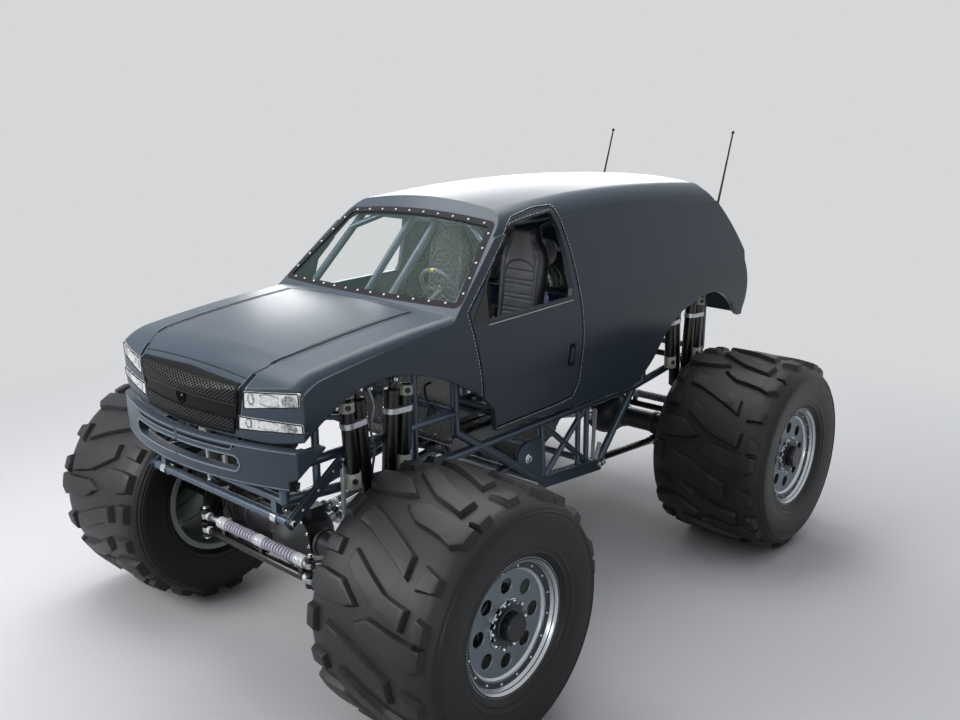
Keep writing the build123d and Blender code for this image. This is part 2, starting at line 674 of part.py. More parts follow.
# ---------------------------------------------------------------- wheels
RIM_LIP_RADIUS = 430
RIM_BARREL_RADIUS = 395
RIM_LIP = 14
RIM_WALL = 14
RIM_HALF = 458
DISC_Y = 1880
DISC_THICK = 20
DISC_HOLE = (245, 47, 8)  # pitch radius, hole radius, count
HUB_RADIUS = 150
HUB_FACE_Y = 1965
HUB_BACK = 40  # how far the hub reaches inboard of the disc's middle
SPINDLE = 110
SPINDLE_SEAT = 58  # how far the spindle enters the hub
TREAD_RADIUS = TYRE_DIAMETER / 2

TYRE_SIDES = 21  # flats round the carcass, three to each repeat of the tread
TYRE_RINGS = (  # outside of the carcass: (share of the half width, radius of its flats)
    (0.90, 788), (1.00, 690), (0.93, 441),
)
TYRE_HOLLOW = (0.84, 735)  # widest point of the hollow: (share of the half width, radius)
LUG_REPEATS = 7
LUG_ROOT = 775  # radius at which the lugs grow out of the carcass
LUG_CROWN = 1.7  # of the flat-topped lugs' corners over the tread's radius
LUGS = (  # outlines of one repeat: (share of the half width, degrees round the tyre)
    ((-0.143, 64.6), (0.09, 69.2), (0.88, 66.2), (0.88, 57), (0, 61)),
    ((-0.07, 71), (-0.40, 79.6), (-0.88, 80.2), (-0.88, 69.5)),
    ((-0.56, 60.6), (-0.58, 50.4), (0.468, 35), (0.435, 46.9)),
    ((-0.39, 41.5), (-0.43, 32.5), (0.07, 21.8), (0.59, 16.8), (0.62, 27)),
)


with BuildPart() as tyre_facet:
    # one flat of the hollow carcass, turned about X, between the planes of its two edges
    half = TYRE_WIDTH / 2
    bead = RIM_HALF - RIM_LIP - SEAT_GAP
    half_step = pi / TYRE_SIDES
    outside = [(share * half, radius) for share, radius in TYRE_RINGS]
    section = [*outside, (bead, RIM_LIP_RADIUS + 1), (bead, RIM_BARREL_RADIUS + SEAT_GAP),
               (bead - 65, RIM_BARREL_RADIUS + SEAT_GAP), (TYRE_HOLLOW[0] * half, TYRE_HOLLOW[1])]
    with BuildSketch(Plane.XY):
        with BuildLine():
            Polyline(*section, *((-x, radius) for x, radius in reversed(section)), close=True)
        make_face()
    extrude(amount=TREAD_RADIUS * tan(half_step), both=True)
    for way in (1, -1):
        split(bisect_by=Plane(origin=(0, 0, 0), z_dir=(0, sin(half_step), -way * cos(half_step))))

with BuildPart() as tyre:
    for flat in range(TYRE_SIDES):
        add(tyre_facet.part.rotate(Axis.X, flat * 360 / TYRE_SIDES))
    for outline in LUGS:
        angles = [angle for share, angle in outline]
        middle = (min(angles) + max(angles)) / 2
        top = (TREAD_RADIUS + LUG_CROWN) * cos(radians(max(angles) - middle))
        with BuildSketch(Plane.XY.offset(LUG_ROOT), mode=Mode.PRIVATE) as lug:
            with BuildLine():
                Polyline(*((share * half, top * tan(radians(angle - middle))) for share, angle in outline),
                         close=True)
            make_face()
        block = extrude(lug.sketch, amount=top - LUG_ROOT, mode=Mode.PRIVATE)
        for repeat in range(LUG_REPEATS):
            add(block.rotate(Axis.X, 90 - middle - repeat * 360 / LUG_REPEATS))

with BuildPart() as rim:
    # turned about X, outboard towards +X
    with BuildSketch(Plane.XY):
        with BuildLine():
            Polyline((-RIM_HALF, RIM_LIP_RADIUS), (-RIM_HALF + RIM_LIP, RIM_LIP_RADIUS),
                     (-RIM_HALF + RIM_LIP, RIM_BARREL_RADIUS), (RIM_HALF - RIM_LIP, RIM_BARREL_RADIUS),
                     (RIM_HALF - RIM_LIP, RIM_LIP_RADIUS), (RIM_HALF, RIM_LIP_RADIUS),
                     (RIM_HALF, RIM_BARREL_RADIUS - RIM_WALL), (-RIM_HALF, RIM_BARREL_RADIUS - RIM_WALL),
                     close=True)
        make_face()
        disc = DISC_Y - TYRE_CENTRE_Y
        with Locations((disc, 0)):
            Rectangle(DISC_THICK, RIM_BARREL_RADIUS - RIM_WALL / 2, align=(Align.CENTER, Align.MIN))
        with Locations((disc - HUB_BACK, 0)):
            Rectangle(HUB_FACE_Y - DISC_Y + HUB_BACK, HUB_RADIUS, align=(Align.MIN, Align.MIN))
            Rectangle(SPINDLE_SEAT + RUNNING_GAP, SPINDLE / 2 + PIN_GAP, align=(Align.MIN, Align.MIN),
                      mode=Mode.SUBTRACT)
    revolve(axis=Axis.X)
    pitch, hole, count = DISC_HOLE
    with BuildSketch(Plane.YZ.offset(disc - 60)):
        with PolarLocations(pitch, count):
            Circle(hole)
    extrude(amount=100, mode=Mode.SUBTRACT)

# ---------------------------------------------------------------- axles, knuckles and steering
AXLE_TUBE = 190
AXLE_YOKE_Y = 800  # end of the axle tube, at the yoke
DIFF_RADIUS = 215
YOKE_Z = 185  # height of the yoke's ears from the axle line
YOKE_THICK = 40
YOKE_HALF = 45  # half its depth along the truck
KING_PIN = 60
KNUCKLE_BALL = 150
ARM_PIN = (412, 590)  # steering arm's pin: x ahead of the axle, y
ARM_PIN_DIAMETER = 24
RAM_Z = 945
TIE_Z = 838
EYE_HEIGHT = 44
EYE_RADIUS = 34
ARM_EAR = 22  # thickness of each ear of the steering arm
ARM_ROOT = (82, 98)  # x ahead of the axle of the arm's two edges at the king pin
TIE_TUBE = 62
RAM_BODY = 66
RAM_ROD = 38
RAM_SPAN = (-360, 500)  # y of the ram's two end collars


def make_axle(x, ahead):
    """A live axle at x; ahead is 1 where its steering lies towards +X."""
    with BuildPart() as axle:
        rod((x, AXLE_YOKE_Y, AXLE_Z), (x, -AXLE_YOKE_Y, AXLE_Z), AXLE_TUBE)
        with Locations((x, 0, AXLE_Z)):
            Sphere(DIFF_RADIUS)
        for way in (1, -1):
            # a C-shaped yoke with an ear over and under the knuckle
            with BuildSketch(Plane.YZ.offset(x - YOKE_HALF)):
                with Locations((way * (AXLE_YOKE_Y - 20), AXLE_Z)):
                    Rectangle(40, 2 * (YOKE_Z + YOKE_THICK))
                for level in (1, -1):
                    with Locations((way * (AXLE_YOKE_Y + 80), AXLE_Z + level * (YOKE_Z + YOKE_THICK / 2))):
                        Rectangle(240, YOKE_THICK)
            extrude(amount=2 * YOKE_HALF)
            with Locations((x, way * KINGPIN_Y, AXLE_Z)):
                Cylinder(KING_PIN / 2 + PIN_GAP, 600, mode=Mode.SUBTRACT)
            # brackets of the drop links, the shocks and the links
            with Locations((x + ahead * (SWAY_END[0] - AXLE_X) / 2, way * SWAY_Y, SHOCK_SEAT_Z - 20)):
                Box(SWAY_END[0] - AXLE_X + 60, 40, 40)
            with Locations((x, way * SHOCK_Y, AXLE_Z + YOKE_Z)):
                Box(2 * SHOCK_SPREAD + 70, 60, SHOCK_SEAT_Z - AXLE_Z - YOKE_Z,
                    align=(Align.CENTER, Align.CENTER, Align.MIN))
            with Locations((x, way * LINK_AXLE_Y, AXLE_Z - AXLE_TUBE / 2 - 40)):
                Box(90, 70, 140)
        with Locations((x, 0, AXLE_Z + DIFF_RADIUS)):
            Box(120, 2 * UPPER_LINK_Y + 60, 80)
    return axle.part


def make_knuckle(x, ahead, way):
    """A steering knuckle between the yoke's ears, with its spindle and its steering arm."""
    pin_x = x + ahead * ARM_PIN[0]
    pin_y = way * ARM_PIN[1]
    king_y = way * KINGPIN_Y
    with BuildPart() as knuckle:
        with Locations((x, king_y, AXLE_Z)):
            Cylinder(KNUCKLE_BALL / 2, 2 * (YOKE_Z - RUNNING_GAP))
            Cylinder(KING_PIN / 2, 2 * (YOKE_Z + YOKE_THICK + 30))
        rod((x, king_y, AXLE_Z), (x, way * (DISC_Y - HUB_BACK + SPINDLE_SEAT), AXLE_Z), SPINDLE)
        # the steering arm's ears over, between and under the two eyes
        for level in (RAM_Z + EYE_HEIGHT / 2 + ARM_EAR / 2 + 5, (RAM_Z + TIE_Z) / 2,
                      TIE_Z - EYE_HEIGHT / 2 - ARM_EAR / 2 - 5):
            with BuildSketch(Plane.XY.offset(level - ARM_EAR / 2)):
                with Locations((pin_x, pin_y)):
                    Circle(38)
                with BuildLine():
                    Polyline((pin_x - ahead * 36, pin_y), (x + ahead * ARM_ROOT[0], king_y - way * 30),
                             (x, king_y - way * 30), (x, king_y + way * 40),
                             (x + ahead * ARM_ROOT[1], king_y + way * 40),
                             (pin_x + ahead * 34, pin_y + way * 16),
                             close=True)
                make_face()
            extrude(amount=ARM_EAR)
        # the pin's ends stand out of the ears, and the left one runs through the eyes
        pin_length = RAM_Z - TIE_Z + EYE_HEIGHT + 2 * ARM_EAR + 24
        with Locations((pin_x, pin_y, (RAM_Z + TIE_Z) / 2)):
            Cylinder(ARM_PIN_DIAMETER / 2, pin_length)
            if way < 0:
                Cylinder(ARM_PIN_DIAMETER, pin_length - 2 * ARM_EAR - 14, mode=Mode.SUBTRACT)
    return knuckle.part


def make_steer_link(x, ahead):
    """The tie tube and the ram over it, with an eye at each end of both."""
    pin_x = x + ahead * ARM_PIN[0]
    with BuildPart() as link:
        reach = ARM_PIN[1] - EYE_RADIUS + 6
        rod((pin_x, reach, TIE_Z), (pin_x, -reach, TIE_Z), TIE_TUBE - 22)
        rod((pin_x, reach - 40, TIE_Z), (pin_x, 40 - reach, TIE_Z), TIE_TUBE)
        rod((pin_x, reach, RAM_Z), (pin_x, -reach, RAM_Z), RAM_ROD)
        rod((pin_x, RAM_SPAN[0], RAM_Z), (pin_x, RAM_SPAN[1], RAM_Z), RAM_BODY - 6)
        for y in (RAM_SPAN[0], sum(RAM_SPAN) / 2, RAM_SPAN[1]):
            rod((pin_x, y - 45, RAM_Z), (pin_x, y + 45, RAM_Z), RAM_BODY + 14)
            with Locations((pin_x, y, (RAM_Z + TIE_Z) / 2)):
                Box(30, 40, RAM_Z - TIE_Z)
        for way in (1, -1):
            for level in (RAM_Z, TIE_Z):
                with Locations((pin_x, way * ARM_PIN[1], level)):
                    Cylinder(EYE_RADIUS, EYE_HEIGHT)
            with Locations((pin_x, way * ARM_PIN[1], (RAM_Z + TIE_Z) / 2)):
                Cylinder(ARM_PIN_DIAMETER / 2 + PIN_GAP, RAM_Z, mode=Mode.SUBTRACT)
    return link.part


def make_shocks(x, way):
    """Two shocks, each with its reservoir strapped beside it, at one wheel."""
    foot_z = SHOCK_SEAT_Z + SHOCK_EYE + SEAT_GAP
    y = way * SHOCK_Y
    with BuildPart() as shocks:
        for lean in (1, -1):
            foot = Vector(x + lean * SHOCK_SPREAD, y, foot_z)
            top = Vector(x + lean * SHOCK_TOP_SPREAD, y, TOWER_Z)

            def along(z):
                return tuple(foot + (top - foot) * ((z - foot_z) / (TOWER_Z - foot_z)))

            rod(tuple(foot), tuple(top), SHOCK_SHAFT)
            rod(along(SHOCK_BODY_Z), along(SHOCK_HEAD_Z), SHOCK_BODY)
            for eye, radius in ((foot, SHOCK_EYE), (top, SHOCK_PIN / 2 + 20)):
                with Locations(Plane(origin=eye, z_dir=(0, 1, 0))):
                    Cylinder(radius, 52)
            with Locations(Plane(origin=top, z_dir=(0, 1, 0))):
                Cylinder(SHOCK_PIN / 2 + SEAT_GAP, 80, mode=Mode.SUBTRACT)
            beside = Vector(lean * CAN_SHIFT, way * (CAN_Y - SHOCK_Y), 0)
            rod(tuple(Vector(*along(CAN_SPAN[0])) + beside), tuple(Vector(*along(CAN_SPAN[1])) + beside),
                SHOCK_BODY - 6)
            middle = Vector(*along(STRAP_Z)) + beside * 0.5
            with Locations(middle):
                Box(CAN_SHIFT, 70, 34)
    return shocks.part


tyre_upright = tyre.part.rotate(Axis.Z, 90)
for place, x, ahead in (("front", AXLE_X, 1), ("rear", -AXLE_X, -1)):
    write(make_axle(x, ahead), f"{place}_axle")
    write(make_steer_link(x, ahead), f"{place}_steer_link")
    for hand, way in (("left", 1), ("right", -1)):
        write(make_knuckle(x, ahead, way), f"knuckle_{place}_{hand}")
        standing = tyre_upright if way > 0 else mirror(tyre_upright, about=Plane.XZ)
        write(standing.translate((x, way * TYRE_CENTRE_Y, AXLE_Z)), f"tyre_{place}_{hand}")
        turned = rim.part.rotate(Axis.Z, way * 90)
        write(turned.translate((x, way * TYRE_CENTRE_Y, AXLE_Z)), f"rim_{place}_{hand}")
        write(make_shocks(x, way), f"shocks_{place}_{hand}")


# ---------------------------------------------------------------- links, sway bars, driveline
def make_links(ahead):
    """The two lower and the two upper links of one axle."""
    with BuildPart() as links:
        for way in (1, -1):
            frame_x, frame_z = PLATE_BOLT if ahead > 0 else LINK_REAR_PIN
            frame_end = (frame_x, way * LINK_FRAME_Y, frame_z)
            axle_x = ahead * (AXLE_X - 45 - LINK_EYE - SEAT_GAP)
            axle_end = (axle_x, way * LINK_AXLE_Y, LINK_AXLE_Z)
            rod(frame_end, axle_end, LINK_BAR)
            upper_frame = (ahead * UPPER_FRAME_X, way * (FLOOR_RAIL_Y + 5),
                           RAIL_Z - BRACE_TUBE / 2 - LINK_EYE - SEAT_GAP)
            upper_axle = (ahead * (AXLE_X - 60 - LINK_EYE - SEAT_GAP), way * UPPER_LINK_Y,
                          AXLE_Z + DIFF_RADIUS + 5)
            rod(upper_frame, upper_axle, LINK_BAR - 12)
            for end in (frame_end, axle_end, upper_frame, upper_axle):
                with Locations(Plane(origin=end, z_dir=(0, 1, 0))):
                    Cylinder(LINK_EYE, LINK_EYE_WIDTH)
    return links.part


def make_sway_bar(ahead):
    """A sway bar: its tube, a pair of plate arms at each end, and the drop links."""
    tube_x = SWAY_FRONT_X if ahead > 0 else SWAY_REAR_X
    end_x = ahead * SWAY_END[0]
    with BuildPart() as bar:
        tube_end = SWAY_Y + SWAY_PLATE_Y + SWAY_PLATE
        rod((tube_x, tube_end, SWAY_Z), (tube_x, -tube_end, SWAY_Z), SWAY_TUBE)
        run = Vector(end_x - tube_x, 0, SWAY_END[1] - SWAY_Z)
        for way in (1, -1):
            for y in (SWAY_Y - SWAY_PLATE_Y, SWAY_Y + SWAY_PLATE_Y):
                middle = (tube_x + run.X / 2, way * y, SWAY_Z + run.Z / 2)
                with Locations(Plane(origin=middle, x_dir=run, z_dir=(0, 1, 0))):
                    Box(run.length + SWAY_TUBE + 10, SWAY_TUBE + 6, SWAY_PLATE)
            rod((end_x, way * SWAY_Y, SWAY_END[1]),
                (end_x, way * SWAY_Y, SHOCK_SEAT_Z + 20), DROP_LINK)
            for z in (SWAY_END[1], SHOCK_SEAT_Z + 25 + SEAT_GAP):
                with Locations(Plane(origin=(end_x, way * SWAY_Y, z), z_dir=(0, 1, 0))):
                    Cylinder(25, 2 * SWAY_PLATE_Y)
    return bar.part


for place, ahead in (("front", 1), ("rear", -1)):
    write(make_links(ahead), f"{place}_links")
    write(make_sway_bar(ahead), f"{place}_sway_bar")

CASE = (460, 320, 250)  # length, width and height of the transfer case
CASE_X = -60
SHAFT = 90

with BuildPart() as driveline:
    case_z = RAIL_Z - (FRAME_TUBE - 6) / 2 - SEAT_GAP - CASE[2] / 2
    with Locations((CASE_X, 0, case_z)):
        Box(*CASE)
    for way in (1, -1):
        start = (CASE_X + way * CASE[0] / 2, 0, case_z - 40)
        run = Vector(way * AXLE_X, 0, AXLE_Z) - Vector(start)
        rod(start, tuple(Vector(start) + run * (1 - (DIFF_RADIUS + 5) / run.length)), SHAFT)
        rod(start, tuple(Vector(start) + run * 0.06), SHAFT + 50)
write(driveline.part, "driveline")

# ---------------------------------------------------------------- roll cage
CAGE_FOOT_Z = TOWER_Z + FRAME_TUBE / 2 + SEAT_GAP
CAGE_FOOT = 14  # height of each foot pad
HOOP_X = -380
HOOP_TOP = (HOOP_X - 20, 640, 2985)
DASH = (1140, 770, 2400)
HEADER = (600, 690, 2965)
CENTRE_TUBE_Y = 130
SEAT_RAIL = ((350, 1960), (-90, 1948))  # x and z of the two tubes under the seats

SEAT_TUBE = 45
WHEEL_CENTRE = (850, 395, 2500)
COLUMN_RAKE = 28
COLUMN_WAY = (cos(radians(COLUMN_RAKE)), 0, -sin(radians(COLUMN_RAKE)))
COLUMN = 44
COLUMN_LENGTH = 360


def cage_side(grown=0):
    """The left side of the cage, each tube of it thicker by grown."""
    front_x = FRONT_TOWER_X[0]
    tube = CAGE_TUBE + grown
    bars([(front_x, FRAME_Y, CAGE_FOOT_Z + 30), DASH, HEADER, HOOP_TOP, (HOOP_X, 690, 2330),
          (HOOP_X, FRAME_Y, RAIL_Z + FRAME_TUBE / 2 + 32)], tube)
    bars([HOOP_TOP, (REAR_TOWER_X[1], FRAME_Y, CAGE_FOOT_Z + 32)], tube - 4)


def cage_rail(grown=0):
    """The left bar that carries the seats' tubes, from the front post to the hoop, thicker by grown."""
    bars([(FRONT_TOWER_X[0], FRAME_Y, CAGE_FOOT_Z + 60), *(side(x, z) for x, z in SEAT_RAIL),
          side(HOOP_X, 1935)], CAGE_TUBE - 2 + grown)


with BuildPart() as cage_seats:
    cage_side(2 * SEAT_GAP)
    mirror(about=Plane.XZ)

with BuildPart() as rail_seats:
    cage_rail(2 * SEAT_GAP)
    mirror(about=Plane.XZ)

with BuildPart() as cage_rails:
    cage_rail()
    mirror(about=Plane.XZ)
    add(cage_seats.part, mode=Mode.SUBTRACT)

with BuildPart() as cage_cross:
    for point in (DASH, HEADER, HOOP_TOP, (HOOP_X, 690, 2330)):
        rod(point, mirrored(point), CAGE_TUBE - 6)
    rod(HOOP_TOP, (HOOP_X, -690, 2330), CAGE_TUBE - 8)
    for way in (1, -1):
        rod((DASH[0] + 20, way * CENTRE_TUBE_Y, DASH[2]), (HEADER[0] + 10, way * CENTRE_TUBE_Y, HEADER[2]),
            CAGE_TUBE - 2)
        rod((HEADER[0] + 10, way * 460, HEADER[2]), (DASH[0] - 410, way * 705, 2855), CAGE_TUBE - 10)
    for x, z in SEAT_RAIL:
        rod(side(x, z), mirrored(side(x, z)), SEAT_TUBE)
    # hanger of the steering column
    with Locations((DASH[0], WHEEL_CENTRE[1], DASH[2])):
        Box(36, 60, 90, align=(Align.CENTER, Align.CENTER, Align.MAX))
    with Locations(Plane(origin=WHEEL_CENTRE, z_dir=COLUMN_WAY)):
        Cylinder(COLUMN / 2 + SEAT_GAP, 1000, mode=Mode.SUBTRACT)
    add(cage_seats.part, mode=Mode.SUBTRACT)
    add(rail_seats.part, mode=Mode.SUBTRACT)

with BuildPart() as roll_cage:
    cage_side()
    for x, z in ((FRONT_TOWER_X[0], CAGE_FOOT_Z), (HOOP_X, RAIL_Z + FRAME_TUBE / 2 + SEAT_GAP),
                 (REAR_TOWER_X[1], CAGE_FOOT_Z)):
        with Locations(side(x, z)):
            Cylinder(38, CAGE_FOOT, align=(Align.CENTER, Align.CENTER, Align.MIN))
    mirror(about=Plane.XZ)
    add(cage_rails.part)
    add(cage_cross.part)
write(roll_cage.part, "roll_cage")

# ---------------------------------------------------------------- cabin
FLOOR = (180, 1040, 640, 6)  # rear x, front x, half width, thickness
SEAT_Y = 395
SEAT_WIDTH = 500
SEAT_OUTLINE = ((420, 1975), (430, 2110), (120, 2085), (30, 2200), (-40, 2640), (-70, 2900),
                (-150, 2925), (-190, 2880), (-150, 2560), (-110, 2150), (-140, 1960))
WHEEL_RADIUS = 178
WHEEL_TUBE = 30
ENGINE = ((-500, -1240, 260, 2060), (-540, -1180, 300, 2300), (-600, -1080, 170, 2520))

with BuildPart() as floor_pan:
    rear, front, half, thick = FLOOR
    with Locations(((rear + front) / 2, 0, RAIL_Z - BRACE_TUBE / 2 - SEAT_GAP)):
        Box(front - rear, 2 * half, thick, align=(Align.CENTER, Align.CENTER, Align.MAX))
write(floor_pan.part, "floor_pan")

with BuildPart() as seat:
    with BuildSketch(Plane.XZ.offset(-SEAT_Y - SEAT_WIDTH / 2)) as outline:
        with BuildLine():
            Polyline(*SEAT_OUTLINE, close=True)
        make_face()
        fillet(outline.vertices(), 28)
    extrude(amount=SEAT_WIDTH)
    for x, z in SEAT_RAIL:
        with Locations((x, SEAT_Y, z)):
            Cylinder(SEAT_TUBE / 2 + SEAT_GAP, 3 * SEAT_WIDTH, rotation=(90, 0, 0), mode=Mode.SUBTRACT)
write(seat.part, "seat_left")
write(mirror(seat.part, about=Plane.XZ), "seat_right")

with BuildPart() as steering_wheel:
    with Locations(Plane(origin=WHEEL_CENTRE, z_dir=COLUMN_WAY)):
        Torus(WHEEL_RADIUS, WHEEL_TUBE / 2)
        for turn in (90, 210, 330):
            with Locations(Location((0, 0, 0), (0, 0, turn))):
                Box(WHEEL_RADIUS, 26, 8, align=(Align.MIN, Align.CENTER, Align.CENTER))
        Cylinder(38, 24)
        Cylinder(COLUMN / 2, COLUMN_LENGTH, align=(Align.CENTER, Align.CENTER, Align.MIN))
write(steering_wheel.part, "steering_wheel")

with BuildPart() as engine_block:
    base = RAIL_Z + BRACE_TUBE / 2 + SEAT_GAP
    for front, rear, half, top in ENGINE:
        with Locations(((front + rear) / 2, 0, base)):
            Box(front - rear, 2 * half, top - base, align=(Align.CENTER, Align.CENTER, Align.MIN))
write(engine_block.part, "engine_block")

# ---------------------------------------------------------------- antennas
ANTENNA_Y = 680
ANTENNA_TIP = (-2862, 3515)
ANTENNA_ROD = 12

with BuildPart() as antennas:
    tail_arc = Edge.make_three_point_arc((REAR_SCREEN_TOP[0], 0, REAR_SCREEN_TOP[1]),
                                         (TAIL_POINTS[0][0], 0, TAIL_POINTS[0][1]),
                                         (TAIL_POINTS[1][0], 0, TAIL_POINTS[1][1]))
    seat_point, slope = tail_arc @ 0.56, tail_arc % 0.56
    out = Vector(slope.Z, 0, -slope.X)
    for way in (1, -1):
        foot = seat_point + out * 2 * SEAT_GAP + Vector(0, way * ANTENNA_Y, 0)
        with Locations(Plane(origin=foot, z_dir=out)):
            Cylinder(22, 18, align=(Align.CENTER, Align.CENTER, Align.MIN))
        tip = (ANTENNA_TIP[0], way * ANTENNA_Y, ANTENNA_TIP[1])
        rod(tuple(foot + out * 12), tip, ANTENNA_ROD)
        ball(tip, 30)
write(antennas.part, "antennas")
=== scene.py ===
"""Monster truck: the looks. Metres; +X forward, +Y the truck's left, +Z up."""
import math
from math import cos, pi, radians, sin

import bmesh
import bpy
from mathutils import Matrix, Vector
from mathutils.bvhtree import BVHTree

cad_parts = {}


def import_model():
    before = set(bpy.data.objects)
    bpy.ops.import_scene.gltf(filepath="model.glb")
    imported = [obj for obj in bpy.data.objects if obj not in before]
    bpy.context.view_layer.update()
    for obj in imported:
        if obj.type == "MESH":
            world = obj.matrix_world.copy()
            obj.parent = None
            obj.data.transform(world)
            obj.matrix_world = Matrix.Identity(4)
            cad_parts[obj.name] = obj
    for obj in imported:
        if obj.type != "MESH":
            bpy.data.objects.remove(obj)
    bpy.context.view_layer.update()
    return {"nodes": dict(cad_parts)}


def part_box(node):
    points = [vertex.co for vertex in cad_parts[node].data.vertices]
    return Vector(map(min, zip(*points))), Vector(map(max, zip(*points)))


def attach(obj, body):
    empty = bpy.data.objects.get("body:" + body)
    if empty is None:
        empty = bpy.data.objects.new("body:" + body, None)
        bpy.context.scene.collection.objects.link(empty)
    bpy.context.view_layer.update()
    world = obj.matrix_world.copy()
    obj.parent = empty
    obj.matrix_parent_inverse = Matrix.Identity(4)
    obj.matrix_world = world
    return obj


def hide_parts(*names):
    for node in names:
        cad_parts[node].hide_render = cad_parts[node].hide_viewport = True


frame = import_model()
nodes = frame["nodes"]

# ---------------------------------------------------------------- sizes shared with the solids
AXLE_X = 1.888
AXLE_Z = 0.838
TYRE_Y = 1.502
TYRE_HALF = 0.5175
LUG_RADIUS = 0.838
FRAME_Y = 0.700
SHOCK_Y = 0.800
RAY_REACH = 4.0  # how far a path looks for the surface it is laid on
SIDES = (("left", 1), ("right", -1))
ENDS = (("front", 1), ("rear", -1))
CORNERS = [(place, hand, ahead * AXLE_X, way) for place, ahead in ENDS for hand, way in SIDES]


# ---------------------------------------------------------------- materials
def srgb(r, g, b):
    """A colour given in display values from 0 to 255, as the shader wants it."""
    def one(c):
        c /= 255
        return c / 12.92 if c <= 0.04045 else ((c + 0.055) / 1.055) ** 2.4
    return (one(r), one(g), one(b), 1.0)


def feed(tree, n, inputs):
    """Set a shader node's inputs; each is a value or the output of another node."""
    for name, value in inputs.items():
        if isinstance(value, bpy.types.NodeSocket):
            tree.links.new(value, n.inputs[name])
        else:
            n.inputs[name].default_value = value


def node(tree, kind, inputs=None, **settings):
    """A new shader node with its settings and inputs."""
    n = tree.nodes.new("ShaderNode" + kind)
    for name, value in settings.items():
        setattr(n, name, value)
    feed(tree, n, inputs or {})
    return n


def ramp(tree, factor, low, high):
    """The colour output of a ramp between two stops (position, colour)."""
    n = node(tree, "ValToRGB", {"Fac": factor})
    for stop, (at, colour) in zip(n.color_ramp.elements, (low, high)):
        stop.position, stop.color = at, colour
    return n.outputs["Color"]


def scaled(colour, by):
    """A colour made lighter or darker."""
    return tuple(min(1, c * by) for c in colour[:3]) + (1.0,)


def principled(name, inputs):
    """A new material, its node tree and its Principled shader."""
    m = bpy.data.materials.new(name)
    m.use_nodes = True
    shader = m.node_tree.nodes["Principled BSDF"]
    feed(m.node_tree, shader, inputs)
    return m, m.node_tree, shader


def material(name, colour, metallic, rough, vary=0.0, scale=12.0, rough_vary=0.0, bump=0.0, bump_scale=60.0,
             coat=0.0, specular=0.5, edge=0.0):
    """A Principled material whose colour, roughness and relief vary; edge rounds sharp corners."""
    base = srgb(*colour)
    m, tree, shader = principled(name, {
        "Base Color": base, "Metallic": metallic, "Roughness": rough, "Specular IOR Level": specular,
        "Coat Weight": coat, "Coat Roughness": 0.12})
    at = node(tree, "TexCoord").outputs["Object"]
    if vary or rough_vary:
        cloud = node(tree, "TexNoise", {"Vector": at, "Scale": scale, "Detail": 4.0}).outputs["Fac"]
    if vary:
        tint = ramp(tree, cloud, (0.30, scaled(base, 1 - vary)), (0.70, scaled(base, 1 + vary)))
        feed(tree, shader, {"Base Color": tint})
    if rough_vary:
        span = node(tree, "MapRange", {"Value": cloud, "To Min": max(0.02, rough - rough_vary),
                                       "To Max": min(1, rough + rough_vary)})
        feed(tree, shader, {"Roughness": span.outputs["Result"]})
    normal = {}
    if edge:
        normal = {"Normal": node(tree, "Bevel", {"Radius": edge}, samples=4).outputs["Normal"]}
    if bump:
        grain = node(tree, "TexNoise", {"Vector": at, "Scale": bump_scale, "Detail": 6.0}).outputs["Fac"]
        relief = node(tree, "Bump", {"Height": grain, "Strength": bump, "Distance": 0.004, **normal})
        normal = {"Normal": relief.outputs["Normal"]}
    feed(tree, shader, normal)
    return m


def tread_plate(name, colour, metallic, rough, scale, height):
    """Sheet metal with raised lugs in a diagonal pattern, from two crossed waves; the sheet between the lugs
    is darker, as painted shade.
    """
    m = material(name, colour, metallic, rough, scale=14.0, rough_vary=0.06)
    tree = m.node_tree
    at = next(n for n in tree.nodes if n.type == "TEX_COORD").outputs["Object"]
    waves = {}
    for slot, flip in enumerate((1, -1)):
        turned = node(tree, "Mapping", {"Vector": at, "Scale": (1, flip, 1)}).outputs["Vector"]
        wave = node(tree, "TexWave", {"Vector": turned, "Scale": scale}, bands_direction="DIAGONAL")
        waves[slot] = wave.outputs["Fac"]
    lugs = node(tree, "Math", waves, operation="MULTIPLY").outputs["Value"]
    relief = node(tree, "Bump", {"Height": lugs, "Distance": height})
    base = srgb(*colour)
    # the sheet between the lugs is darker than their tops: painted shade
    feed(tree, tree.nodes["Principled BSDF"], {
        "Base Color": ramp(tree, lugs, (0.0, scaled(base, 0.45)), (0.45, base)),
        "Normal": relief.outputs["Normal"]})
    return m


def mottled(name, light, dark, scale, metallic=0.3):
    """A clear lamp cover over facets: light and dark patches, painted reflections of the facets, broken up by
    a cell pattern.
    """
    m, tree, shader = principled(name, {"Roughness": 0.15, "Metallic": metallic, "Coat Weight": 0.6})
    at = node(tree, "TexCoord").outputs["Object"]
    cells = node(tree, "TexVoronoi", {"Vector": at, "Scale": scale}).outputs["Distance"]
    feed(tree, shader, {"Base Color": ramp(tree, cells, (0.15, srgb(*dark)), (0.75, srgb(*light)))})
    return m


